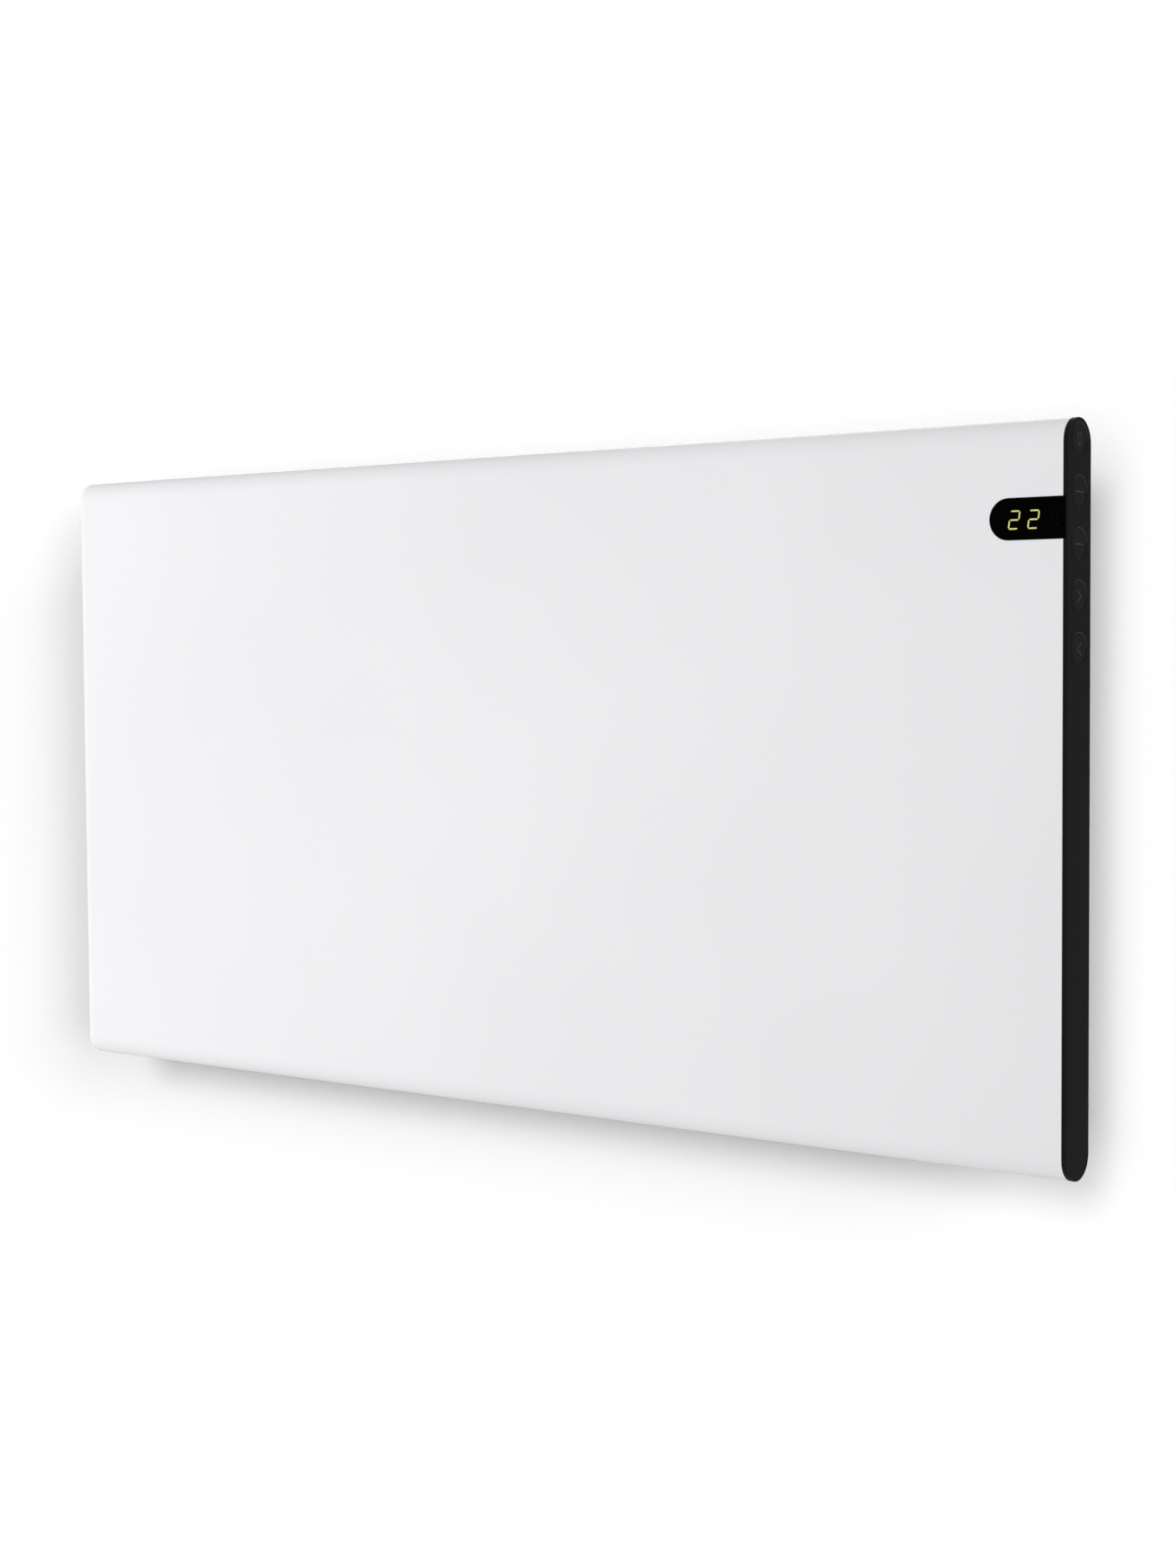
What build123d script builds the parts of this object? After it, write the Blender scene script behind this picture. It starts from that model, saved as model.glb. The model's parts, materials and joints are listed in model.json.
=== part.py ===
"""Wall panel convector heater: a slim front panel on a convector housing, hung on a wall bracket.

Millimetres. X runs along the wall to the right, the front faces -Y and Z is up. The origin lies
on the wall, at the centre of the four wall-screw holes, level with the middle of the panel.
"""
from build123d import *
import os
from math import floor, radians, tan

os.makedirs("parts", exist_ok=True)

# Front panel
panel_width = 700
panel_height = 370
panel_depth = 24
panel_stand_off = 60  # from the wall to the back of the panel
shell_sheet = 1.0
shell_lip = 15  # flat lip of the shell along the top and bottom of its open back
plate_sheet = 1.0
plate_overlap = 10  # how far the back plate reaches behind each lip
left_cap_wall = 3.0
control_cap_wall = 2.6
cap_edge_radius = 1.4
cap_tab_reach = 12
cap_tab_sheet = 1.5
cap_tab_height = 6
cap_boss_depth = 6
cap_screw_rise = 25  # from the gland to the lower screw of each cap
cap_screw_drop = 44  # from the lowest button to the upper one

# Buttons and display
button_count = 5
button_diameter = 15.3
button_pitch = 25.15
button_top_drop = 10.4  # from the top of the panel to the centre of the top button
button_flange_step = 0.65
button_flange = 1.2
button_stem_radius = 2.0
button_stem = 1.7
button_travel = 0.8
window_length = 40.6
window_height = 20.2
window_thickness = 1.9
window_proud = 0.3
digit_height = 9.15
digit_width = 5.75
digit_pitch = 10.4
digit_slant = 7.5  # degrees
digit_stroke = 0.75
digit_segment_gap = 0.15
digit_count = 2
digit_inset = 13.5  # from the round end of the window to the middle of the first digit
digit_relief = 0.2
display_width = 20
display_height = 17
display_depth = 8
display_pin_pitch = 2.54
display_pin_radius = 0.4
display_pin = 2
holder_wall = 1.5
holder_rim = 5

# Convector housing and element
housing_inset = 50  # from each end of the panel
housing_drop = 13  # from the shell's lips
housing_depth = 37
housing_sheet = 0.8
housing_flange = 12
grille_sheet = 1.0
grille_slot_width = 5
grille_slot_pitch = 12
grille_rim = 6
element_rise = 75  # from the bottom of the housing
element_end_room = 60  # from each side of the housing to the fins
fin_reach = 15
fin_sheet = 1.5
fin_hub_radius = 6.5
rod_radius = 4
rod_overhang = 25  # rod beyond each end of the fins
terminal_radius = 1.5
terminal_length = 10
bush_radius = 8
bush_neck_radius = 6
bush_length = 10
element_bracket_width = 24
element_bracket_sheet = 1.2
shield_gap = 5
shield_sheet = 0.6
shield_margin = 12
cutout_radius = 8
cutout_depth = 9
cutout_drop = 45  # from the top of the housing
cutout_tag = 4
cutout_tag_sheet = 1

# Wall bracket, hanger and latches
wall_hole_spacing_x = 420
wall_hole_spacing_z = 200
wall_hole_radius = 3.25
bracket_sheet = 1.5
upright_width = 30
upright_depth = 20
crossbar_height = 24
crossbar_gap = 38  # from the crossbars to the wall holes
hanger_drop = 25  # from the top of the housing
hanger_pin_depth = 12  # from the wall to the middle of the pin
hanger_pin_radius = 3
hanger_sheet = 1.5
hanger_gap = 16.5  # between the two ears
hanger_base_width = 48
hanger_base_height = 28
hook_nose = 5
hook_back = 15
buffer_radius = 6
buffer_gap = 4  # from the latch plate
latch_drop = 15  # from the bottom of the housing
latch_width = 8
latch_sheet = 3
latch_short_arm = 12
latch_long_arm = 20
latch_grip = 4
latch_plate_width = 36
latch_plate_overlap = 16
latch_slot_margin = 1
latch_foot_width = 24
latch_foot_height = 24
stud_radius = 2.5
stud_collar_radius = 4
stud_head_radius = 4.4
stud_head = 1.5

# Electronics
board_width = 70
board_height = 130
board_sheet = 1.6
board_rise = 26  # from the lowest button to the top of the board
board_edge_gap = 22  # from the control cap to the board
board_stand_off = 5
board_screw_inset = 5
component_margin = 12  # from the left edge of the board
component_gap = 1  # between the connector and the column beside it
lower_row = 44  # from the bottom of the board
row_gap = 12
relay_size = (20, 26, 12.5)  # width, height and depth
supply_size = (24, 30, 12)
capacitor_size = (20, 14, 11)
chip_size = (22, 22, 2)
switch_side = 6
switch_height = 3.5
switch_plunger = 0.4
switch_plunger_radius = 1.75
button_board_width = 15
button_board_post_radius = 2.5
button_board_screw_radius = 1.0
button_board_screw_head = 1.2
connector_width = 6
connector_height = 12
connector_depth = 5
ribbon_sheet = 0.8
terminal_ways = 4
terminal_pitch = 10
terminal_height = 16
terminal_depth = 10
terminal_screw = 1.2
sensor_height = 14
sensor_depth = 5

# Cable gland, leads and screws
gland_bore_radius = 3.7
gland_thread_radius = 8
gland_nut_width = 22
gland_nut = 5
gland_length = 22
gland_inset = 22  # from the end of the panel to the gland's axis
gland_rise = 13  # from the bottom of the shell's opening
grommet_radius = 7
grommet_bore_radius = 4
grommet_lip = 2
grommet_lip_sheet = 1.5
grommet_drop = 20  # from the bottom of the power board
lead_radius = 1.2
lead_bend = 6
lead_spacing = 3.2  # between two leads that share a hole
screw_radius = 1.75
screw_head_radius = 3.4
screw_head = 2.0
screw_bite = 4
rivet_radius = 2
rivet_head_radius = 3.6
rivet_head = 1.2

# Clearances
fit_gap = 0.15  # between fixed neighbours
hole_gap = 0.1  # round screws and rivets
moving_gap = 0.3  # between pieces that move past each other
bearing_gap = 0.05  # radial play of a pin in its seat

# Places that follow from the sizes
panel_right = panel_width / 2
back_y = -panel_stand_off
front_y = back_y - panel_depth
mid_y = (front_y + back_y) / 2
shell_left = -panel_right + left_cap_wall
shell_right = panel_right - control_cap_wall
inner_front_y = front_y + shell_sheet
opening_height = panel_height - panel_depth - 2 * shell_lip
plate_back_y = back_y - shell_sheet
plate_front_y = plate_back_y - plate_sheet
plate_height = opening_height + 2 * plate_overlap
housing_width = panel_width - 2 * housing_inset
housing_height = opening_height - 2 * housing_drop
housing_back_y = plate_back_y + housing_depth
housing_inner_y = housing_back_y - housing_sheet
air_mid_y = (plate_back_y + housing_inner_y) / 2
button_radius = button_diameter / 2
button_tops = panel_height / 2 - button_top_drop
button_heights = [button_tops - button_pitch * i for i in range(button_count)]
button_gaps = [z - button_pitch / 2 for z in button_heights[:-1]]
window_level = button_gaps[1]
window_end = panel_right - cap_edge_radius
window_tip = window_end - window_length
window_front_y = front_y - window_proud
window_back_y = window_front_y + window_thickness
flange_front = shell_right - moving_gap
flange_back = flange_front - button_flange
stem_end = flange_back - button_stem
plunger_tip = stem_end - button_travel - moving_gap
button_board_face = plunger_tip - switch_plunger - switch_height
button_board_back = button_board_face - board_sheet
upright_middle = wall_hole_spacing_x / 2
upright_flange_middle = upright_middle + (upright_width - bracket_sheet) / 2
element_length = housing_width - 2 * element_end_room
element_height = element_rise - housing_height / 2
cutout_height = housing_height / 2 - cutout_drop
hanger_height = housing_height / 2 - hanger_drop
upright_top = hanger_height + hook_back
latch_height = -housing_height / 2 - latch_drop
upright_bottom = latch_height - latch_foot_height / 2
latch_middle = upright_flange_middle + bracket_sheet / 2 - latch_foot_width / 2
latch_plate_top = -housing_height / 2 + latch_plate_overlap
buffer_height = latch_plate_top + buffer_gap + buffer_radius
crossbar_level = wall_hole_spacing_z / 2 - crossbar_gap
board_level = button_heights[-1] + board_rise - board_height / 2
gland_level = gland_rise - opening_height / 2
cap_screw_heights = (gland_level + cap_screw_rise, button_heights[-1] - cap_screw_drop)
rod_half = element_length / 2 + rod_overhang
terminal_end = rod_half + terminal_length
SIDES = ((-1, "left"), (1, "right"))


def keep(piece, name):
    """Label one finished piece and write its file."""
    piece.part.label = name
    export_step(piece.part, f"parts/{name}.step")


def facing_front(y):
    """Sketch plane parallel to the wall at y: sketch X is X, sketch Y is Z, and it extrudes to -Y."""
    return Plane.XZ.offset(-y)


def block(x0, x1, y0, y1, z0, z1, mode=Mode.ADD):
    """Box between two corners."""
    with Locations(((x0 + x1) / 2, (y0 + y1) / 2, (z0 + z1) / 2)):
        Box(abs(x1 - x0), abs(y1 - y0), abs(z1 - z0), mode=mode)


def disc(y0, y1, radius, points, mode=Mode.ADD):
    """Cylinders along Y from y0 to y1 at each (x, z)."""
    with BuildSketch(facing_front(y0)) as section:
        with Locations(*points):
            Circle(radius)
    extrude(section.sketch, amount=y0 - y1, mode=mode)


def rod(x0, x1, radius, points, mode=Mode.ADD):
    """Cylinders along X from x0 to x1 at each (y, z)."""
    with BuildSketch(Plane.YZ.offset(x0)) as section:
        with Locations(*points):
            Circle(radius)
    extrude(section.sketch, amount=x1 - x0, mode=mode)


def holes(y0, y1, radius, points):
    """Round holes along Y through whatever lies between y0 and y1."""
    disc(y0, y1, radius + hole_gap, points, mode=Mode.SUBTRACT)


def pan_screws(seat_y, tip_y, points):
    """Pan-head screws along Y: the head sits on seat_y and the tip lies at tip_y."""
    outward = 1 if seat_y > tip_y else -1
    disc(seat_y, tip_y, screw_radius, points)
    disc(seat_y, seat_y + outward * screw_head, screw_head_radius, points)


def panel_outline(depth, height):
    """Upright pill outline of the panel's section, round the panel's middle."""
    with Locations((mid_y, 0)):
        SlotOverall(height, depth, rotation=90)


def window_outline(grow=0):
    """Display window with its round left end and square right end, on a front-facing sketch."""
    radius = window_height / 2
    middle = window_tip + radius
    with Locations((middle, window_level)):
        Circle(radius + grow)
    with Locations(((middle + window_end + grow) / 2, window_level)):
        Rectangle(window_end + grow - middle, window_height + 2 * grow)


def lead(points):
    """Round wire through the points, with even bends."""
    with BuildLine() as route:
        FilletPolyline(*points, radius=lead_bend)
    start = Plane(origin=route.line @ 0, z_dir=route.line % 0)
    with BuildSketch(start) as section:
        Circle(lead_radius)
    sweep(section.sketch, path=route.line)


def four(half_x, half_z, x=0, z=0):
    """Corners of a rectangle round (x, z)."""
    return [(x + i * half_x, z + j * half_z) for i in (-1, 1) for j in (-1, 1)]


# Shared screw places
plate_screws = [
    (x * housing_width / 3, z * (plate_height / 2 - plate_overlap / 2))
    for x in (-1.5, -0.5, 0.5, 1.5)
    for z in (-1, 1)
]
housing_screws = four(housing_width / 2 + housing_flange / 2, housing_height / 3)
cap_screw_x = {
    -1: shell_left + cap_tab_reach / 2,
    1: shell_right - cap_tab_reach / 2,
}
cap_screws = [(x, z) for x in cap_screw_x.values() for z in cap_screw_heights]
board_middle = shell_right - board_edge_gap - board_width / 2
board_back_y = plate_front_y - board_stand_off
board_front_y = board_back_y - board_sheet
board_screws = four(
    board_width / 2 - board_screw_inset, board_height / 2 - board_screw_inset, board_middle, board_level
)
shield_width = housing_width - 2 * shield_margin
shield_height = housing_height - 2 * shield_margin
shield_front_y = plate_back_y + shield_gap
shield_screws = four(shield_width / 2 - shield_margin, shield_height / 2 - shield_margin)
gland_place = (panel_right - gland_inset, gland_level)
grommet_place = (
    terminal_end + 2 * lead_bend - lead_spacing / 2, board_level - board_height / 2 - grommet_drop
)  # fmt: skip
hanger_screws = {
    side: four(
        hanger_base_width / 2 - screw_head_radius - 1,
        hanger_base_height / 2 - screw_head_radius - 1,
        side * upright_flange_middle,
        hanger_height,
    )
    for side, _ in SIDES
}
latch_screw_x = latch_plate_width / 2 - screw_head_radius - 1
latch_screw_z = latch_plate_top - latch_plate_overlap / 2 + 1
latch_screws = {
    side: [(side * latch_middle + i * latch_screw_x, latch_screw_z) for i in (-1, 1)] for side, _ in SIDES
}
element_bracket_x = element_length / 2 + rod_overhang / 2
element_bracket_foot = 12
element_screws = [
    (side * (element_bracket_x + element_bracket_foot / 2), element_height + i * element_bracket_width / 3)
    for side, _ in SIDES
    for i in (-1, 1)
]


# Wall bracket: two uprights with hooks, two crossbars, rivets and rubber buffers
crossbar_half = upright_middle + upright_width / 2 - bracket_sheet - 2
rivet_x = [side * (upright_middle + i * upright_width / 4) for side, _ in SIDES for i in (-1, 1)]
crossbar_rivets = {z: [(x, z) for x in rivet_x] for z in (-crossbar_level, crossbar_level)}

for side, name in SIDES:
    flange_x = side * upright_flange_middle
    with BuildPart() as upright:
        with BuildSketch(Plane.XY.offset(upright_bottom)):
            with Locations((side * upright_middle, -bracket_sheet / 2)):
                Rectangle(upright_width, bracket_sheet)
            with Locations((flange_x, -upright_depth / 2)):
                Rectangle(bracket_sheet, upright_depth)
        extrude(amount=upright_top - upright_bottom)
        # the open hook that carries the hanger pin, with a low nose in front and a tall back
        with BuildSketch(Plane.YZ.offset(flange_x)):
            with Locations((-hanger_pin_depth, hanger_height)):
                Circle(hanger_pin_radius + bearing_gap)
            with Locations((-hanger_pin_depth, hanger_height + hook_back)):
                Rectangle(2 * (hanger_pin_radius + bearing_gap), 2 * hook_back)
            with Locations((-upright_depth, hanger_height + hook_nose + hook_back)):
                Rectangle(2 * (upright_depth - hanger_pin_depth), 2 * hook_back)
        extrude(amount=bracket_sheet, both=True, mode=Mode.SUBTRACT)
        # the foot that carries the latch stud
        foot_edge = side * (upright_flange_middle + bracket_sheet / 2)
        block(
            foot_edge - side * latch_foot_width, foot_edge,
            -upright_depth, -upright_depth + bracket_sheet,
            upright_bottom, upright_bottom + latch_foot_height,
        )  # fmt: skip
        wall_holes = [(side * upright_middle, z * wall_hole_spacing_z / 2) for z in (-1, 1)]
        own_rivets = [p for row in crossbar_rivets.values() for p in row if p[0] * side > 0]
        stud_place = (side * latch_middle, latch_height)
        disc(0, -bracket_sheet, wall_hole_radius, wall_holes, mode=Mode.SUBTRACT)
        holes(0, -bracket_sheet, rivet_radius, own_rivets)
        holes(-upright_depth + bracket_sheet, -upright_depth, stud_radius, [stud_place])
    keep(upright, f"bracket_upright_{name}")

for level, name in ((crossbar_level, "top"), (-crossbar_level, "bottom")):
    with BuildPart() as crossbar:
        with BuildSketch(facing_front(-bracket_sheet)):
            with Locations((0, level)):
                Rectangle(2 * crossbar_half, crossbar_height)
        extrude(amount=bracket_sheet)
        # folded stiffening edge along the lower side, between the uprights
        rib_half = upright_middle - upright_width / 2 - 4
        block(
            -rib_half, rib_half,
            -bracket_sheet, -bracket_sheet - crossbar_height / 3,
            level - crossbar_height / 2, level - crossbar_height / 2 + bracket_sheet,
        )  # fmt: skip
        holes(-bracket_sheet, -2 * bracket_sheet, rivet_radius, crossbar_rivets[level])
    keep(crossbar, f"bracket_crossbar_{name}")

with BuildPart() as bracket_rivets:
    for row in crossbar_rivets.values():
        disc(0, -2 * bracket_sheet, rivet_radius, row)
        disc(-2 * bracket_sheet, -2 * bracket_sheet - rivet_head, rivet_head_radius, row)
    fillet(bracket_rivets.edges().group_by(Axis.Y)[0], rivet_head * 0.6)
keep(bracket_rivets, "bracket_rivets")

with BuildPart() as wall_buffers:
    buffer_places = [(side * upright_middle, buffer_height) for side, _ in SIDES]
    disc(-bracket_sheet, housing_back_y + moving_gap, buffer_radius, buffer_places)
    fillet(wall_buffers.edges().group_by(Axis.Y)[0], buffer_radius / 6)
keep(wall_buffers, "wall_buffers")

# Latches: a short turn lever on a stud, which turns in front of the slotted plate on the heater
latch_back_y = housing_back_y - latch_slot_margin
latch_front_y = latch_back_y - latch_sheet
with BuildPart() as latch_studs:
    stud_places = [(side * latch_middle, latch_height) for side, _ in SIDES]
    disc(-upright_depth + bracket_sheet, latch_front_y - moving_gap, stud_radius, stud_places)
    disc(-upright_depth, latch_back_y + moving_gap, stud_collar_radius, stud_places)
    disc(latch_front_y - moving_gap, latch_front_y - moving_gap - stud_head, stud_head_radius, stud_places)
keep(latch_studs, "latch_studs")

for side, name in SIDES:
    with BuildPart() as latch:
        with BuildSketch(facing_front(latch_back_y)):
            with Locations((side * latch_middle, latch_height + (latch_short_arm - latch_long_arm) / 2)):
                SlotOverall(latch_short_arm + latch_long_arm, latch_width, rotation=90)
        extrude(amount=latch_sheet)
        # finger grip across the long arm
        grip_z = latch_height - latch_long_arm + latch_width / 2
        with BuildSketch(facing_front(latch_front_y)):
            with Locations((side * latch_middle, grip_z)):
                Circle(latch_width / 2 - 0.5)
        extrude(amount=latch_grip, taper=6)
        disc(
            latch_back_y, latch_front_y, stud_radius + bearing_gap,
            [(side * latch_middle, latch_height)], mode=Mode.SUBTRACT,
        )  # fmt: skip
    keep(latch, f"latch_{name}")

for side, name in SIDES:
    x = side * latch_middle
    with BuildPart() as latch_plate:
        with BuildSketch(facing_front(housing_back_y + bracket_sheet)):
            with Locations((x, (latch_plate_top + upright_bottom) / 2)):
                RectangleRounded(latch_plate_width, latch_plate_top - upright_bottom, 3)
            slot_width = latch_width + 2 * latch_slot_margin
            slot_top = latch_height + latch_short_arm + latch_slot_margin
            with Locations((x, (slot_top + upright_bottom) / 2 - 2)):
                Rectangle(slot_width, slot_top - upright_bottom + 4, mode=Mode.SUBTRACT)
        extrude(amount=bracket_sheet)
        holes(housing_back_y + bracket_sheet, housing_back_y, screw_radius, latch_screws[side])
    keep(latch_plate, f"latch_plate_{name}")

# Hangers: a two-eared bracket on the back of the housing, with the pin that drops into the hook
for side, name in SIDES:
    x = side * upright_flange_middle
    with BuildPart() as hanger:
        with BuildSketch(facing_front(housing_back_y + hanger_sheet)):
            with Locations((x, hanger_height)):
                RectangleRounded(hanger_base_width, hanger_base_height, 3)
        extrude(amount=hanger_sheet)
        for ear in (-1, 1):
            ear_x = x + ear * (hanger_gap + hanger_sheet) / 2
            with BuildSketch(Plane.YZ.offset(ear_x - hanger_sheet / 2)):
                with Locations(((housing_back_y - hanger_pin_depth) / 2 + hanger_sheet / 2, hanger_height)):
                    Rectangle(
                        -housing_back_y - hanger_pin_depth - hanger_sheet, 4 * hanger_pin_radius
                    )
                with Locations((-hanger_pin_depth, hanger_height)):
                    Circle(2 * hanger_pin_radius)
                    Circle(hanger_pin_radius + hole_gap, mode=Mode.SUBTRACT)
            extrude(amount=hanger_sheet)
        holes(housing_back_y + hanger_sheet, housing_back_y, screw_radius, hanger_screws[side])
    keep(hanger, f"hanger_{name}")

with BuildPart() as hanger_pins:
    pin_half = hanger_gap / 2 + hanger_sheet + 1.5
    for side, _ in SIDES:
        pin_x = side * upright_flange_middle
        rod(pin_x - pin_half, pin_x + pin_half, hanger_pin_radius, [(-hanger_pin_depth, hanger_height)])
    chamfer(hanger_pins.edges().filter_by(GeomType.CIRCLE), 0.5)
keep(hanger_pins, "hanger_pins")

with BuildPart() as hanger_screw_set:
    for side, _ in SIDES:
        pan_screws(housing_back_y + hanger_sheet, housing_inner_y - screw_bite, hanger_screws[side])
        pan_screws(housing_back_y + bracket_sheet, housing_inner_y - screw_bite, latch_screws[side])
keep(hanger_screw_set, "hanger_screws")

# Convector housing: a tray of thin sheet, with an inlet grille below and an outlet grille above
with BuildPart() as convector_housing:
    with BuildSketch(Plane.XY.offset(-housing_height / 2)):
        with Locations((0, housing_back_y - housing_sheet / 2)):
            Rectangle(housing_width, housing_sheet)
        for side, _ in SIDES:
            with Locations((side * (housing_width - housing_sheet) / 2, housing_back_y - housing_depth / 2)):
                Rectangle(housing_sheet, housing_depth)
            with Locations((side * (housing_width + housing_flange) / 2, plate_back_y + housing_sheet / 2)):
                Rectangle(housing_flange, housing_sheet)
    extrude(amount=housing_height)
    back_screws = [p for side, _ in SIDES for p in hanger_screws[side] + latch_screws[side]]
    holes(housing_back_y, housing_inner_y, screw_radius, back_screws + element_screws)
    holes(plate_back_y + housing_sheet, plate_back_y, screw_radius, housing_screws)
keep(convector_housing, "convector_housing")

grille_length = housing_width - 2 * housing_sheet - 2 * fit_gap
grille_depth = housing_inner_y - plate_back_y - 2 * fit_gap
slot_count = floor((grille_length - 2 * grille_rim) / grille_slot_pitch)
for side, name in ((-1, "inlet_grille"), (1, "outlet_grille")):
    with BuildPart() as grille:
        with BuildSketch(Plane.XY.offset(side * (housing_height - grille_sheet) / 2 - grille_sheet / 2)):
            with Locations((0, air_mid_y)):
                Rectangle(grille_length, grille_depth)
                with GridLocations(grille_slot_pitch, grille_depth, slot_count, 1):
                    SlotOverall(
                        grille_depth - 2 * grille_rim, grille_slot_width, rotation=90, mode=Mode.SUBTRACT
                    )
        extrude(amount=grille_sheet)
        # folded edge along the front, which stiffens the strip and lies on the back plate
        edge_z = side * (housing_height / 2 - grille_sheet)
        edge_y = air_mid_y - grille_depth / 2
        block(
            -grille_length / 2, grille_length / 2,
            edge_y, edge_y + grille_sheet, edge_z, edge_z - side * grille_rim,
        )  # fmt: skip
    keep(grille, name)

# Heating element: a rod inside a finned extrusion, held at each end by a bush in a bracket
element_axis = (air_mid_y, element_height)
with BuildPart() as element_fins:
    with BuildSketch(Plane.YZ.offset(-element_length / 2)):
        with Locations(element_axis):
            Circle(fin_hub_radius)
            Rectangle(2 * fin_reach, fin_sheet, rotation=45)
            Rectangle(2 * fin_reach, fin_sheet, rotation=-45)
            Circle(rod_radius + hole_gap, mode=Mode.SUBTRACT)
    extrude(amount=element_length)
keep(element_fins, "element_fins")

with BuildPart() as heating_rod:
    rod(-rod_half, rod_half, rod_radius, [element_axis])
    for side, _ in SIDES:
        rod(side * rod_half, side * (rod_half + terminal_length), terminal_radius, [element_axis])
keep(heating_rod, "heating_rod")

with BuildPart() as element_bushes:
    for side, _ in SIDES:
        inner = side * (element_bracket_x - element_bracket_sheet)
        neck_end = side * (element_bracket_x + bush_length / 2)
        rod(inner - side * bush_length / 3, inner, bush_radius, [element_axis])
        rod(inner, neck_end, bush_neck_radius, [element_axis])
    rod(-rod_half, rod_half, rod_radius + hole_gap, [element_axis], mode=Mode.SUBTRACT)
keep(element_bushes, "element_bushes")

for side, name in SIDES:
    with BuildPart() as element_bracket:
        plate_in = side * (element_bracket_x - element_bracket_sheet)
        plate_out = side * element_bracket_x
        half = element_bracket_width / 2
        front = air_mid_y - bush_radius - 2
        block(plate_in, plate_out, front, housing_inner_y, element_height - half, element_height + half)
        block(
            plate_in, side * (element_bracket_x + element_bracket_foot),
            housing_inner_y - element_bracket_sheet, housing_inner_y,
            element_height - half, element_height + half,
        )  # fmt: skip
        rod(plate_in, plate_out, bush_neck_radius + hole_gap, [element_axis], mode=Mode.SUBTRACT)
        own = [p for p in element_screws if p[0] * side > 0]
        holes(housing_inner_y, housing_inner_y - element_bracket_sheet, screw_radius, own)
    keep(element_bracket, f"element_bracket_{name}")

with BuildPart() as element_screw_set:
    pan_screws(housing_back_y, housing_inner_y - element_bracket_sheet - 1, element_screws)
keep(element_screw_set, "element_screws")

with BuildPart() as heat_shield:
    block(
        -shield_width / 2, shield_width / 2,
        shield_front_y, shield_front_y + shield_sheet, -shield_height / 2, shield_height / 2,
    )  # fmt: skip
    holes(shield_front_y + shield_sheet, shield_front_y, screw_radius, shield_screws)
    shield_notch = grommet_radius + 4
    with BuildSketch(facing_front(shield_front_y + shield_sheet)):
        with Locations(grommet_place):
            Circle(shield_notch)
        with Locations((grommet_place[0] + shield_notch, grommet_place[1])):
            Rectangle(2 * shield_notch, 2 * shield_notch)
    extrude(amount=shield_sheet, mode=Mode.SUBTRACT)
keep(heat_shield, "heat_shield")

with BuildPart() as spacers:
    disc(plate_back_y, shield_front_y, screw_head_radius, shield_screws)
    disc(plate_front_y, board_back_y, screw_head_radius, board_screws)
    holes(plate_back_y, shield_front_y, screw_radius, shield_screws)
    holes(plate_front_y, board_back_y, screw_radius, board_screws)
keep(spacers, "spacers")

with BuildPart() as spacer_screws:
    pan_screws(shield_front_y + shield_sheet, plate_front_y - 1, shield_screws)
    pan_screws(board_front_y, plate_back_y + 1, board_screws)
keep(spacer_screws, "spacer_screws")

with BuildPart() as thermal_cutout:
    cutout_front_y = housing_inner_y - cutout_depth
    disc(housing_inner_y, cutout_front_y, cutout_radius, [(0, cutout_height)])
    fillet(thermal_cutout.edges().group_by(Axis.Y)[0], 1)
    for side, _ in SIDES:
        tag_x = side * cutout_radius / 2
        block(
            tag_x - lead_radius, tag_x + lead_radius,
            cutout_front_y + cutout_tag_sheet, cutout_front_y + 2 * cutout_tag_sheet,
            cutout_height, cutout_height - cutout_radius - cutout_tag,
        )  # fmt: skip
keep(thermal_cutout, "thermal_cutout")

# Front shell: one folded sheet with a plain front, round top and bottom edges and an open back
with BuildPart() as front_shell:
    with BuildSketch(Plane.YZ.offset(shell_left)):
        panel_outline(panel_depth, panel_height)
        with Locations((mid_y, 0)):
            SlotOverall(
                panel_height - 2 * shell_sheet, panel_depth - 2 * shell_sheet, rotation=90, mode=Mode.SUBTRACT
            )
        with Locations((back_y, 0)):
            Rectangle(4 * shell_sheet, opening_height, mode=Mode.SUBTRACT)
    extrude(amount=shell_right - shell_left)
    with BuildSketch(facing_front(inner_front_y)):
        window_outline(fit_gap)
    extrude(amount=shell_sheet, mode=Mode.SUBTRACT)
    holes(back_y, plate_back_y, screw_radius, plate_screws)
keep(front_shell, "front_shell")

with BuildPart() as back_plate:
    block(
        shell_left + fit_gap, shell_right - fit_gap, plate_front_y, plate_back_y,
        -plate_height / 2, plate_height / 2,
    )  # fmt: skip
    places = plate_screws + housing_screws + cap_screws + board_screws + shield_screws
    holes(plate_back_y, plate_front_y, screw_radius, places)
    holes(plate_back_y, plate_front_y, gland_thread_radius, [gland_place])
    holes(plate_back_y, plate_front_y, grommet_radius, [grommet_place])
keep(back_plate, "back_plate")

with BuildPart() as plate_screw_set:
    pan_screws(back_y, plate_front_y - screw_bite, plate_screws)
    pan_screws(plate_back_y + housing_sheet, plate_front_y - screw_bite, housing_screws)
keep(plate_screw_set, "back_plate_screws")


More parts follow.
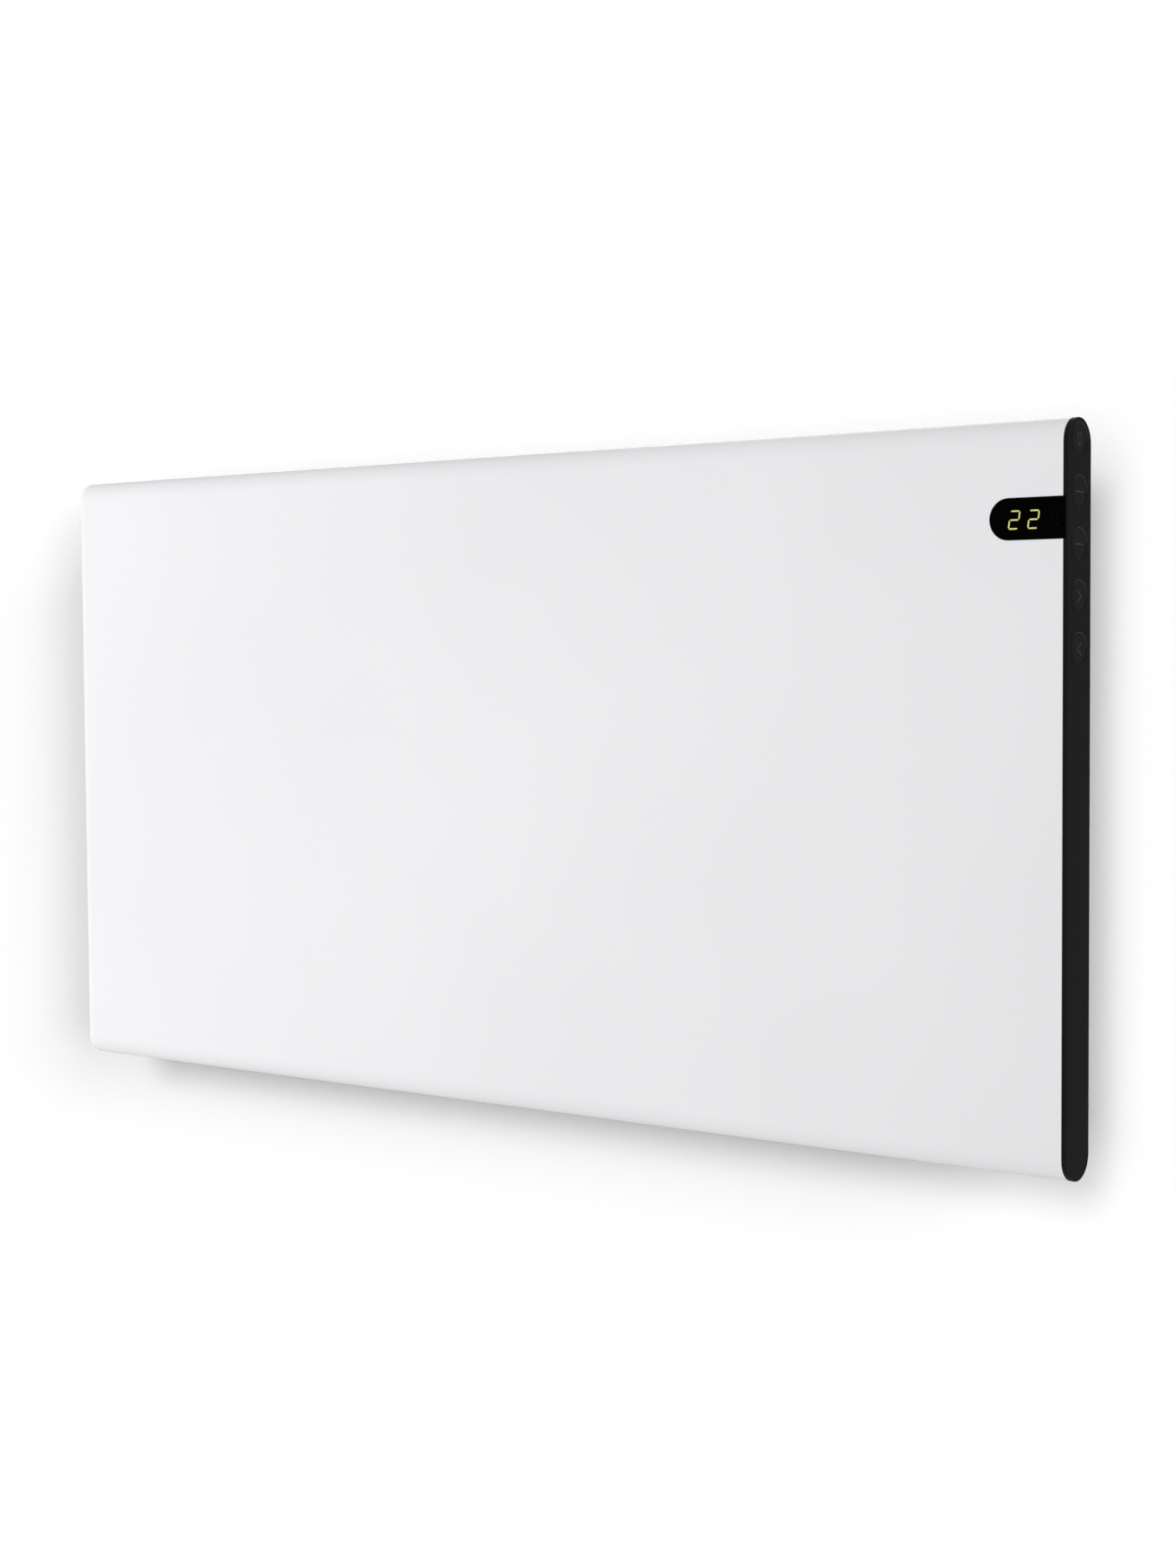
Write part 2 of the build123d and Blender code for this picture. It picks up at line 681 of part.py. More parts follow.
def end_cap(side, cap_wall, tab_heights, front_tab_heights):
    """Pill-shaped end plate, rounded along its outer front edge, with tabs and screw bosses inside the shell.
    The rounding fades out over the top and bottom, and the back edge is sharp."""
    outer = side * panel_right
    inner = side * (panel_right - cap_wall)
    tip = inner - side * cap_tab_reach
    with BuildSketch(Plane.YZ.offset(inner)) as section:
        panel_outline(panel_depth, panel_height)
    extrude(section.sketch, amount=outer - inner)
    with BuildPart(mode=Mode.INTERSECT) as rounded:
        with BuildSketch(Plane.YZ.offset(inner)) as section:
            panel_outline(panel_depth, panel_height)
            with Locations((back_y, 0)):
                Rectangle(panel_depth, panel_height)
        extrude(section.sketch, amount=outer - inner)
        outer_face = rounded.faces().sort_by(Axis.X)[-1 if side > 0 else 0]
        fillet(outer_face.edges().sort_by(Axis.Y)[:-1], cap_edge_radius)
    rear_y = plate_front_y - fit_gap
    tab_front_y = inner_front_y + fit_gap
    for z in tab_heights:
        block(inner, tip, rear_y - cap_tab_sheet, rear_y, z - cap_tab_height / 2, z + cap_tab_height / 2)
    for z in front_tab_heights:
        block(
            inner, tip, tab_front_y, tab_front_y + cap_tab_sheet,
            z - cap_tab_height / 2, z + cap_tab_height / 2,
        )  # fmt: skip
    for z in cap_screw_heights:
        block(inner, tip, rear_y - cap_boss_depth, rear_y, z - cap_tab_height, z + cap_tab_height)
        holes(rear_y, rear_y - cap_boss_depth, screw_radius, [(cap_screw_x[side], z)])


lower_tabs = [-panel_height / 2 + panel_depth + button_pitch * i for i in range(1, 8)]
lower_tabs = [z for z in lower_tabs if min(abs(z - s) for s in cap_screw_heights) > 3 * cap_tab_height]
with BuildPart() as left_end_cap:
    end_cap(-1, left_cap_wall, lower_tabs + button_gaps, lower_tabs + button_gaps)
keep(left_end_cap, "left_end_cap")

post_heights = (button_gaps[0], button_gaps[-1])
with BuildPart() as control_end_cap:
    front_tabs = [z for z in button_gaps if abs(z - window_level) > window_height / 2 + cap_tab_height]
    end_cap(1, control_cap_wall, lower_tabs + button_gaps, lower_tabs + front_tabs)
    rod(shell_right, button_board_face, button_board_post_radius, [(mid_y, z) for z in post_heights])
    rod(
        shell_right, button_board_face, button_board_screw_radius + hole_gap,
        [(mid_y, z) for z in post_heights], mode=Mode.SUBTRACT,
    )  # fmt: skip
    rod(
        shell_right, panel_right, button_radius + moving_gap,
        [(mid_y, z) for z in button_heights], mode=Mode.SUBTRACT,
    )  # fmt: skip
    # the notch for the end of the display window, which stops where the cap's edge starts to round
    block(
        shell_right, window_end + fit_gap, front_y, window_back_y + fit_gap,
        window_level - window_height / 2 - fit_gap, window_level + window_height / 2 + fit_gap,
        mode=Mode.SUBTRACT,
    )  # fmt: skip
keep(control_end_cap, "control_end_cap")

with BuildPart() as cap_screw_set:
    pan_screws(plate_back_y, plate_front_y - fit_gap - screw_bite, cap_screws)
keep(cap_screw_set, "cap_screws")

# Push buttons on the side face, each with a flange behind the cap and a stem over its switch
for number, z in enumerate(button_heights, 1):
    with BuildPart() as button:
        rod(flange_front, panel_right, button_radius, [(mid_y, z)])
        fillet(button.edges().group_by(Axis.X)[-1], 0.3)
        rod(flange_back, flange_front, button_radius + button_flange_step, [(mid_y, z)])
        rod(stem_end, flange_back, button_stem_radius, [(mid_y, z)])
    keep(button, f"button_{number}")

with BuildPart() as button_board:
    board_top = button_heights[0] + switch_side / 2 + 2
    board_bottom = button_heights[-1] - switch_side / 2 - 4
    half = button_board_width / 2
    block(button_board_back, button_board_face, mid_y - half, mid_y + half, board_bottom, board_top)
    rod(
        button_board_back, button_board_face, button_board_screw_radius + hole_gap,
        [(mid_y, z) for z in post_heights], mode=Mode.SUBTRACT,
    )  # fmt: skip
keep(button_board, "button_board")

with BuildPart() as button_switches:
    for z in button_heights:
        half = switch_side / 2
        block(
            button_board_face, button_board_face + switch_height,
            mid_y - half, mid_y + half, z - half, z + half,
        )  # fmt: skip
    rod(
        button_board_face + switch_height, plunger_tip, switch_plunger_radius,
        [(mid_y, z) for z in button_heights],
    )  # fmt: skip
keep(button_switches, "button_switches")

with BuildPart() as button_board_screws:
    places = [(mid_y, z) for z in post_heights]
    rod(button_board_back, button_board_back + board_sheet + screw_bite, button_board_screw_radius, places)
    rod(button_board_back, button_board_back - button_board_screw_head, 2 * button_board_screw_radius, places)
keep(button_board_screws, "button_board_screws")

# Display: a dark window on the front, with a digit block in a holder behind it
with BuildPart() as display_window:
    with BuildSketch(facing_front(window_back_y)):
        window_outline()
    extrude(amount=window_thickness)
    fillet(display_window.faces().sort_by(Axis.Y)[0].edges(), window_proud * 0.6)
keep(display_window, "display_window")

digit_middle = window_tip + digit_inset + digit_pitch * (digit_count - 1) / 2
module_front_y = window_back_y + digit_relief + fit_gap
display_left = digit_middle - display_width / 2
with BuildPart() as display_module:
    block(
        display_left, display_left + display_width, module_front_y, module_front_y + display_depth,
        window_level - display_height / 2, window_level + display_height / 2,
    )  # fmt: skip
    pins = [
        (digit_middle + i * display_pin_pitch, window_level + j * display_height / 3)
        for i in (-2, -1, 0, 1, 2)
        for j in (-1, 1)
    ]
    module_back_y = module_front_y + display_depth
    disc(module_back_y, module_back_y + display_pin, display_pin_radius, pins)
keep(display_module, "display_module")


def digit_two(x):
    """Five lit segments of a slanted 2 round x, as bars on a front-facing sketch."""
    lean = tan(radians(digit_slant))
    arm = digit_height / 2 - 2 * digit_segment_gap
    span = digit_width - 2 * digit_stroke - 2 * digit_segment_gap
    bars = [(0, i * (digit_height - digit_stroke) / 2, span, digit_stroke) for i in (-1, 0, 1)]
    arms = [(i * (digit_width - digit_stroke) / 2, i * digit_height / 4, digit_stroke, arm) for i in (-1, 1)]
    for middle_x, middle_z, width, height in bars + arms:
        corners = [(i * width / 2, j * height / 2) for i, j in ((-1, -1), (1, -1), (1, 1), (-1, 1))]
        with Locations((x + middle_x + lean * middle_z, window_level + middle_z)):
            Polygon(*[(u + lean * v, v) for u, v in corners], align=None)


with BuildPart() as display_digits:
    with BuildSketch(facing_front(module_front_y)):
        for i in range(digit_count):
            digit_two(window_tip + digit_inset + digit_pitch * i)
    extrude(amount=digit_relief)
keep(display_digits, "display_digits")

with BuildPart() as display_holder:
    left = display_left - holder_rim
    right = display_left + display_width + fit_gap
    half = window_height / 2 + holder_rim
    block(left, right, inner_front_y, inner_front_y + holder_wall, window_level - half, window_level + half)
    pocket = display_height / 2 + fit_gap
    wall_half = pocket + holder_wall
    block(
        display_left - fit_gap - holder_wall, right, inner_front_y, module_back_y - display_pin,
        window_level - wall_half, window_level + wall_half,
    )  # fmt: skip
    block(
        display_left - fit_gap, right, inner_front_y, module_back_y,
        window_level - pocket, window_level + pocket, mode=Mode.SUBTRACT,
    )  # fmt: skip
    # recess for the back of the window
    with BuildSketch(facing_front(window_back_y)):
        window_outline(fit_gap)
    extrude(amount=window_thickness, mode=Mode.SUBTRACT)
keep(display_holder, "display_holder")

# Power board on its stand-offs, with its larger components
board_left = board_middle - board_width / 2
board_bottom = board_level - board_height / 2
with BuildPart() as power_board:
    block(
        board_left, board_left + board_width, board_front_y, board_back_y,
        board_bottom, board_bottom + board_height,
    )  # fmt: skip
    holes(board_back_y, board_front_y, screw_radius, board_screws)
keep(power_board, "power_board")


def on_board(x, z, size, name, edge=0.6):
    """Boxed component on the front of the power board, placed from the board's lower left corner."""
    width, height, depth = size
    with BuildPart() as component:
        block(
            board_left + x, board_left + x + width, board_front_y - depth, board_front_y,
            board_bottom + z, board_bottom + z + height,
        )  # fmt: skip
        fillet(component.faces().sort_by(Axis.Y)[0].edges(), edge)
    keep(component, name)


right_column = board_width - connector_width - component_gap
upper_row = lower_row + chip_size[1] + row_gap
on_board(component_margin, upper_row, relay_size, "relay")
on_board(right_column - supply_size[0], upper_row, supply_size, "power_supply")
on_board(right_column - capacitor_size[0], lower_row, capacitor_size, "filter_capacitor", edge=1.5)
on_board(component_margin, lower_row, chip_size, "control_chip", edge=0.3)

block_left = board_left + (board_width - terminal_ways * terminal_pitch) / 2
block_z = board_bottom + 3 * board_screw_inset
wells = [
    (block_left + terminal_pitch * (i + 0.5), block_z + 0.7 * terminal_height) for i in range(terminal_ways)
]
well_radius = terminal_pitch / 4
well_floor_y = board_front_y - 0.7 * terminal_depth
entry_y = board_front_y - terminal_depth / 3
with BuildPart() as terminal_block:
    block(
        block_left, block_left + terminal_ways * terminal_pitch,
        board_front_y - terminal_depth, board_front_y, block_z, block_z + terminal_height,
    )  # fmt: skip
    disc(board_front_y - terminal_depth, well_floor_y, well_radius, wells, mode=Mode.SUBTRACT)
    for x, _ in wells:
        block(
            x - well_radius, x + well_radius, entry_y - 2, entry_y + 2,
            block_z, block_z + terminal_height / 3, mode=Mode.SUBTRACT,
        )  # fmt: skip
keep(terminal_block, "terminal_block")

with BuildPart() as terminal_screws:
    disc(well_floor_y, well_floor_y - terminal_screw, well_radius - fit_gap, wells)
keep(terminal_screws, "terminal_screws")

# Ribbon between the two boards, with a connector at each end
ribbon_level = button_heights[-1]
board_connector_x = board_left + board_width - connector_width
with BuildPart() as board_connectors:
    half = connector_height / 2
    block(
        board_connector_x, board_connector_x + connector_width,
        board_front_y - connector_depth, board_front_y, ribbon_level - half, ribbon_level + half,
    )  # fmt: skip
    block(
        button_board_back - connector_depth, button_board_back,
        mid_y - connector_width / 2, mid_y + connector_width / 2, ribbon_level - half, ribbon_level + half,
    )  # fmt: skip
keep(board_connectors, "board_connectors")

with BuildPart() as ribbon_cable:
    ribbon_half = connector_height / 2 - 1
    ribbon_from = (board_connector_x + connector_width, board_front_y - connector_depth / 2)
    ribbon_to = (button_board_back - connector_depth, mid_y)
    with BuildSketch(Plane.XY.offset(ribbon_level - ribbon_half)):
        run = ribbon_to[0] - ribbon_from[0]
        rise = ribbon_to[1] - ribbon_from[1]
        half = ribbon_sheet / 2
        with Locations(ribbon_from):
            Polygon((0, -half), (run, rise - half), (run, rise + half), (0, half), align=None)
    extrude(amount=2 * ribbon_half)
keep(ribbon_cable, "ribbon_cable")

# Cable gland on the back plate: a flanged body with a lock nut inside and a clamping nut outside
with BuildPart() as cable_gland:
    gland_x, gland_z = gland_place
    with BuildSketch(facing_front(plate_back_y)):
        with Locations(gland_place):
            RegularPolygon(gland_nut_width / 2, 6, major_radius=False)
    extrude(amount=-gland_nut)
    disc(plate_back_y + gland_nut, plate_back_y + gland_length, gland_thread_radius + 1, [gland_place])
    fillet(cable_gland.edges().group_by(Axis.Y)[-1], 2)
    disc(plate_front_y - gland_nut, plate_back_y, gland_thread_radius, [gland_place])
    disc(
        plate_front_y - gland_nut, plate_back_y + gland_length, gland_bore_radius,
        [gland_place], mode=Mode.SUBTRACT,
    )  # fmt: skip
keep(cable_gland, "cable_gland")

with BuildPart() as gland_lock_nut:
    with BuildSketch(facing_front(plate_front_y)):
        with Locations(gland_place):
            RegularPolygon(gland_nut_width / 2, 6, major_radius=False)
            Circle(gland_thread_radius + hole_gap, mode=Mode.SUBTRACT)
    extrude(amount=gland_nut - 1)
keep(gland_lock_nut, "gland_lock_nut")

with BuildPart() as lead_grommet:
    lip_front_y = plate_front_y - grommet_lip_sheet
    lip_back_y = plate_back_y + grommet_lip_sheet
    disc(lip_front_y, plate_front_y, grommet_radius + grommet_lip, [grommet_place])
    disc(plate_back_y, lip_back_y, grommet_radius + grommet_lip, [grommet_place])
    disc(lip_front_y, lip_back_y, grommet_radius, [grommet_place])
    disc(lip_front_y, lip_back_y, grommet_bore_radius, [grommet_place], mode=Mode.SUBTRACT)
keep(lead_grommet, "lead_grommet")

# Room sensor on the back plate, low down where the air comes in
sensor_place = (board_middle, -opening_height / 2)
with BuildPart() as room_sensor:
    with BuildSketch(facing_front(plate_front_y)):
        with Locations(sensor_place):
            SlotOverall(sensor_height, sensor_height / 2, rotation=90)
    extrude(amount=sensor_depth)
    fillet(room_sensor.faces().sort_by(Axis.Y)[0].edges(), 1.5)
keep(room_sensor, "room_sensor")

# Leads: from the element, the cut-out and the room sensor to the terminal block
grommet_x, grommet_z = grommet_place
lead_back_y = housing_inner_y - 4
tag_y = cutout_front_y + 1.5 * cutout_tag_sheet
tag_x = cutout_radius / 2
tag_z = cutout_height - cutout_radius - cutout_tag
lead_low_z = tag_z - 4 * lead_bend
with BuildPart() as leads:
    for i, points in (
        (1, [
            (terminal_end, air_mid_y, element_height),
            (terminal_end + 2 * lead_bend, air_mid_y, element_height),
        ]),
        (0, [
            (tag_x, tag_y, tag_z),
            (tag_x, tag_y, tag_z - 2 * lead_bend),
            (2 * tag_x, lead_back_y, lead_low_z),
            (grommet_x - 4 * lead_bend, lead_back_y, lead_low_z - lead_bend),
            (grommet_x - lead_spacing / 2, lead_back_y, grommet_z + 5 * lead_bend),
        ]),
    ):  # fmt: skip
        hole_x = grommet_x + (i - 0.5) * lead_spacing
        well_x = wells[i][0]
        lead(points + [
            (hole_x, (lead_back_y, air_mid_y - 1.2 * lead_bend)[i], grommet_z),
            (hole_x, entry_y, grommet_z),
            (well_x, entry_y, block_z - lead_bend),
            (well_x, entry_y, block_z + terminal_height / 3 - fit_gap),
        ])  # fmt: skip
    lead([
        (-terminal_end, air_mid_y, element_height),
        (-terminal_end - 2 * lead_bend, air_mid_y, element_height),
        (-terminal_end - 2 * lead_bend, lead_back_y, lead_low_z - lead_bend),
        (-2 * tag_x, lead_back_y, lead_low_z),
        (-tag_x, tag_y, tag_z - 2 * lead_bend),
        (-tag_x, tag_y, tag_z),
    ])  # fmt: skip
    sensor_x, sensor_z = sensor_place
    lead([
        (sensor_x, plate_front_y - sensor_depth / 2, sensor_z + sensor_height / 2),
        (sensor_x, plate_front_y - sensor_depth / 2, block_z - 10 * lead_bend),
        (wells[2][0], entry_y, block_z - 2 * lead_bend),
        (wells[2][0], entry_y, block_z + terminal_height / 3 - fit_gap),
    ])  # fmt: skip
keep(leads, "leads")
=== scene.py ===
"""Looks of the wall panel convector heater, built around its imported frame.

Metres, in the frame's own axes: X runs along the wall to the right, the front faces -Y, Z is up.
"""
import json
import math

import bmesh
import bpy
from mathutils import Matrix, Vector


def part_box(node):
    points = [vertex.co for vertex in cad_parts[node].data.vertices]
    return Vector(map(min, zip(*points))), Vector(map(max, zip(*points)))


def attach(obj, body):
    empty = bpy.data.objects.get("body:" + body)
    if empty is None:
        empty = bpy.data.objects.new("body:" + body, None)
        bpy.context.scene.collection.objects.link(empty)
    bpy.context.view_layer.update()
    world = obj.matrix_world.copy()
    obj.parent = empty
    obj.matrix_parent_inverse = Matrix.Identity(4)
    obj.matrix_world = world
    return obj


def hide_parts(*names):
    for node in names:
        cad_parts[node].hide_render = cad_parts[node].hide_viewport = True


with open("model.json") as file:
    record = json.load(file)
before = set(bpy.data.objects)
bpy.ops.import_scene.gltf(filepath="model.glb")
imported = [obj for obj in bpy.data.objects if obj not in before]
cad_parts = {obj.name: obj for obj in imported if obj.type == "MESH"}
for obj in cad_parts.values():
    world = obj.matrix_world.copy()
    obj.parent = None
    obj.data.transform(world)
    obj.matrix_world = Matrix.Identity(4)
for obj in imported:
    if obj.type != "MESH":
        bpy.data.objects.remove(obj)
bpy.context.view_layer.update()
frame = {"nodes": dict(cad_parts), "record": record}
nodes = frame["nodes"]
MM = 0.001

# Camera: 1.2 m in front of the wall and 0.9 m to the right of the heater's middle, turned left towards it
LENS_MM = 57.54
SENSOR_MM = 36
CAMERA_PLACE = (0.8970, -1.1756, 0.0733)
CAMERA_TURN = math.radians(37.456)
CAMERA_TILT = math.radians(2.978)
CAMERA_ROLL = math.radians(-0.385)

# Surroundings: how bright they are at their darkest and brightest, and where they are brightest
AMBIENT = (0.40, 0.85)
BRIGHT_SIDE = (-0.5, -0.86, 0.0)

# Stage and lights
STAGE_SIZE = 8
WALL_PLACE = (0, 0.5 * MM, 0)  # just behind the face that rests on the wall
WALL_PAINT = "3F3F3F"  # dark paint with a glow, under strong lights of its own, so that mostly those shade it
WALL_GLOW = 0.12
FLOOR_PLACE = (0, 0, -0.9)  # below the heater, out of the photograph's view
FLOOR_PAINT = "F6F6F6"
FLOOR_GLOW = 0.5
WALL_SUNS = (  # light on the wall alone: where it comes from, its spread in degrees and its strength
    ("wall_sun_front", (0.30, -0.95, 0.10), 40, 21.4),
    ("wall_sun_side", (0.83, -0.48, 0.27), 24, 26.0),
    ("wall_sun_high", (0.30, -0.89, 0.35), 17, 16.0),
    ("wall_sun_level", (0.82, -0.57, 0.06), 11, 11.6),
)
SOFTBOXES = (  # soft lights: place, width and height, power, and whether glossy surfaces show them
    ("front_softbox", (-1.0, -1.2, 0.0), (1.4, 1.4), 9.5, False),
    ("rear_softbox", (-0.5, 1.6, 0.9), (1.4, 1.0), 9, True),
    ("floor_bounce", (-0.2, 0.3, -1.3), (1.6, 1.0), 1.8, False),
    ("ceiling_bounce", (-0.2, 0.3, 1.3), (1.6, 1.0), 1.2, False),
)

# Printed marks and the lip round each button's hole
PRINT_LIFT = 0.04 * MM  # printed marks stand this far off what carries them
SYMBOL_STROKE = 0.55 * MM
SYMBOL_BAR = 7.5 * MM
CHEVRON_DEPTH = 4.6 * MM
CHEVRON_HALF_HEIGHT = 2.8 * MM
SWITCH_MARK = (3.6 * MM, 5.4 * MM)
RIM_RADIUS = 7.93 * MM
RIM_BEAD = 0.17 * MM
HIGHLIGHT_SIDE = (0.0, 0.35, 0.94)  # side of the rims that carries their painted highlight: above and behind

# Figures and indicators as they show through the window: centres and columns along X, the level along Z
DIGIT = (5.75 * MM, 9.2 * MM)
DIGIT_CENTRES = (321.5 * MM, 331.9 * MM)
DIGIT_LEVEL = 136.4 * MM
DIGIT_LEAN = 0.13  # sideways for each unit of height
SEGMENT_STROKE = 0.7 * MM
SEGMENT_GAP = 0.2 * MM  # from the corner where two segments would meet to the point of each
INDICATOR = 1.1 * MM
INDICATOR_PITCH = 2.8 * MM
INDICATOR_COLUMNS = (341.5 * MM, 344.2 * MM)

# Screws, rivets and the cable gland
WELD = 0.001 * MM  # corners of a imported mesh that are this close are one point
LEVEL = 0.01 * MM  # points whose heights differ by less are level
HEAD_SHARE = 0.9  # points beyond this share of a fastener's greatest radius are on its head
DOME = 1.35  # a pan head is a dome of this many times its height, cut flat
RECESS_ARM = 0.62  # reach and half width of a cross recess, as shares of the head's radius
RECESS_SLOT = 0.17
RECESS_DEPTH = 0.6  # depth of the recess, as a share of the head's height
GRIP_RIBS = 18
GRIP_RADIUS = 9 * MM
GRIP_RIB = 0.8 * MM
GRIP_LENGTH = 12 * MM
GRIP_SETBACK = 2 * MM  # from the gland's mouth to the end of its ribs
SEAL_RADIUS = 4.7 * MM
SEAL_BEAD = 0.8 * MM
SHARP_EDGE = 35  # edges that bend by more degrees than this stay sharp
ROUND_BEAD = 60  # the same for beads, whose ten sides should look round


# ---------------------------------------------------------------- helpers
def linear(code):
    """An sRGB hex colour such as "F1F2F4" as linear red, green, blue and alpha."""
    channels = [int(code[i : i + 2], 16) / 255 for i in (0, 2, 4)]
    return [c / 12.92 if c <= 0.04045 else ((c + 0.055) / 1.055) ** 2.4 for c in channels] + [1.0]


def add(tree, kind, inputs=None, **settings):
    """Add a node. Settings are its properties; inputs are socket values or the sockets that feed them."""
    made = tree.nodes.new(kind)
    for name, value in settings.items():
        setattr(made, name, value)
    for key, value in (inputs or {}).items():
        feeds = value if isinstance(value, list) else [value]
        if isinstance(feeds[0], bpy.types.NodeSocket):
            for feed in feeds:
                tree.links.new(feed, made.inputs[key])
        else:
            made.inputs[key].default_value = value
    return made


def mesh_object(name, mesh, body, material):
    """A finished piece that rides on a body."""
    piece = bpy.data.objects.new(name, mesh)
    bpy.context.scene.collection.objects.link(piece)
    mesh.materials.clear()
    mesh.materials.append(material)
    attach(piece, body)
    return piece


# ---------------------------------------------------------------- materials
def new_surface(name, colour, roughness, metallic=0.0, specular=0.5):
    """A Principled surface with its even values set on its own sockets, and its Object coordinates."""
    material = bpy.data.materials.new(name)
    material.use_nodes = True
    tree = material.node_tree
    shader = tree.nodes["Principled BSDF"]
    shader.inputs["Base Color"].default_value = linear(colour)
    shader.inputs["Roughness"].default_value = roughness
    shader.inputs["Metallic"].default_value = metallic
    shader.inputs["Specular IOR Level"].default_value = specular
    place = add(tree, "ShaderNodeTexCoord").outputs["Object"]
    return material, tree, shader, place


def grain(tree, shader, place, size_mm, depth_mm, roughness, detail=3.0):
    """Even fine relief of one grain size, which also varies the roughness between two values."""
    noise = add(tree, "ShaderNodeTexNoise", {"Vector": place, "Scale": 1 / (size_mm * MM), "Detail": detail})
    height = noise.outputs["Fac"]
    bump = add(tree, "ShaderNodeBump", {"Height": height, "Distance": depth_mm * MM, "Strength": 1.0})
    rough = add(tree, "ShaderNodeMapRange", {"Value": height, "To Min": roughness[0], "To Max": roughness[1]})
    tree.links.new(bump.outputs["Normal"], shader.inputs["Normal"])
    tree.links.new(rough.outputs["Result"], shader.inputs["Roughness"])
    return height


def tint(tree, shader, factor, dark, light, low=0.35, high=0.65):
    """Base colour that wanders between two close shades with the factor."""
    ramp = add(tree, "ShaderNodeValToRGB", {"Fac": factor})
    ramp.color_ramp.elements[0].position = low
    ramp.color_ramp.elements[0].color = linear(dark)
    ramp.color_ramp.elements[1].position = high
    ramp.color_ramp.elements[1].color = linear(light)
    tree.links.new(ramp.outputs["Color"], shader.inputs["Base Color"])


def white_powder_coat():
    """Satin white powder coat on steel: even and soft, with the faint orange peel of the baked coat."""
    material, tree, shader, place = new_surface("white_powder_coat", "EAEAEC", 0.42)
    grain(tree, shader, place, 1.6, 0.006, (0.38, 0.46), detail=1.0)
    drift = add(tree, "ShaderNodeTexNoise", {"Vector": place, "Scale": 1 / (200 * MM), "Detail": 2.0})
    tint(tree, shader, drift.outputs["Fac"], "E9E9EB", "ECECEE")
    return material


def white_abs():
    """Moulded white ABS: a touch glossier and warmer than the steel, with a spark-eroded grain."""
    material, tree, shader, place = new_surface("white_abs", "EEEEEF", 0.4)
    height = grain(tree, shader, place, 0.5, 0.008, (0.36, 0.45))
    tint(tree, shader, height, "ECECED", "F0F0F1")
    return material


def black_abs():
    """Moulded black ABS with a fine matt grain, which greys it a little and kills sharp reflections."""
    material, tree, shader, place = new_surface("black_abs", "101011", 0.5, specular=0.112)
    height = grain(tree, shader, place, 0.35, 0.012, (0.44, 0.56))
    tint(tree, shader, height, "070708", "0C0C0D")
    return material


def button_abs():
    """The buttons' black ABS: the same grain as the cap, slightly smoother where fingers polish it."""
    material, tree, shader, place = new_surface("button_abs", "121213", 0.46, specular=0.125)
    height = grain(tree, shader, place, 0.35, 0.009, (0.40, 0.52))
    tint(tree, shader, height, "08080A", "0D0D0E")
    return material


def smoked_acrylic():
    """Polished black acrylic: near black with a sharp, dim reflection and very faint waviness."""
    material, tree, shader, place = new_surface("smoked_acrylic", "010101", 0.04, specular=0.012)
    grain(tree, shader, place, 6.0, 0.002, (0.03, 0.06), detail=0.0)
    return material


def lit_segment():
    """Lit display segment: the diffuser glows between deeper and paler yellow in soft patches."""
    material, tree, shader, place = new_surface("lit_segment", "3C3A22", 0.5, specular=0.1)
    glow = add(tree, "ShaderNodeTexNoise", {"Vector": place, "Scale": 1 / (1.2 * MM), "Detail": 0.0})
    ramp = add(tree, "ShaderNodeValToRGB", {"Fac": glow.outputs["Fac"]})
    ramp.color_ramp.elements[0].color = linear("DCD45E")
    ramp.color_ramp.elements[1].color = linear("FFFDB0")
    tree.links.new(ramp.outputs["Color"], shader.inputs["Emission Color"])
    shader.inputs["Emission Strength"].default_value = 0.85
    return material


def grey_print():
    """Thin pad print in dark grey, with slightly uneven ink."""
    material, tree, shader, place = new_surface("grey_pad_print", "404042", 0.6)
    height = grain(tree, shader, place, 0.3, 0.004, (0.55, 0.7))
    tint(tree, shader, height, "3A3A3C", "464648")
    return material


def rim_with_painted_highlight():
    """Lip round each button's hole, a little smoother than the cap, with a painted highlight: its colour is
    painted paler towards its top and back, where it would catch the light.
    """
    material, tree, shader, place = new_surface("rim_abs_painted_highlight", "1A1A1B", 0.4, specular=0.2)
    grain(tree, shader, place, 0.35, 0.006, (0.3, 0.5))
    # painted highlight: the colour runs from near black to pale grey towards the rim's top and back, as if lit
    # there
    highlight_share = add(tree, "ShaderNodeAttribute", attribute_name="toward_rubbed_side").outputs["Fac"]
    tint(tree, shader, highlight_share, "121213", "5A5A5C", low=0.2, high=1.0)
    return material


def unlit_indicator():
    """Unlit indicator behind the dark window: a shade lighter than the window, with a soft diffuser grain."""
    material, tree, shader, place = new_surface("unlit_indicator", "050506", 0.3, specular=0.02)
    height = grain(tree, shader, place, 0.3, 0.004, (0.25, 0.4))
    tint(tree, shader, height, "050506", "08080A")
    return material


def galvanised_sheet():
    """Hot-dip galvanised sheet: flat zinc crystals of a few millimetres, each a shade of its own."""
    material, tree, shader, place = new_surface("galvanised_sheet", "A9ADB0", 0.38, metallic=1.0)
    spangle = add(tree, "ShaderNodeTexVoronoi", {"Vector": place, "Scale": 1 / (5 * MM)})
    shade = add(tree, "ShaderNodeSeparateColor", {"Color": spangle.outputs["Color"]}).outputs["Red"]
    tint(tree, shader, shade, "A7ABAE", "BDC0C3", low=0.1, high=0.9)
    rough = add(tree, "ShaderNodeMapRange", {"Value": shade, "To Min": 0.34, "To Max": 0.46})
    tree.links.new(rough.outputs["Result"], shader.inputs["Roughness"])
    ripple = add(tree, "ShaderNodeTexNoise", {"Vector": place, "Scale": 1 / (1.2 * MM), "Detail": 2.0})
    bump = add(tree, "ShaderNodeBump", {"Height": ripple.outputs["Fac"], "Distance": 0.01 * MM})
    tree.links.new(bump.outputs["Normal"], shader.inputs["Normal"])
    return material


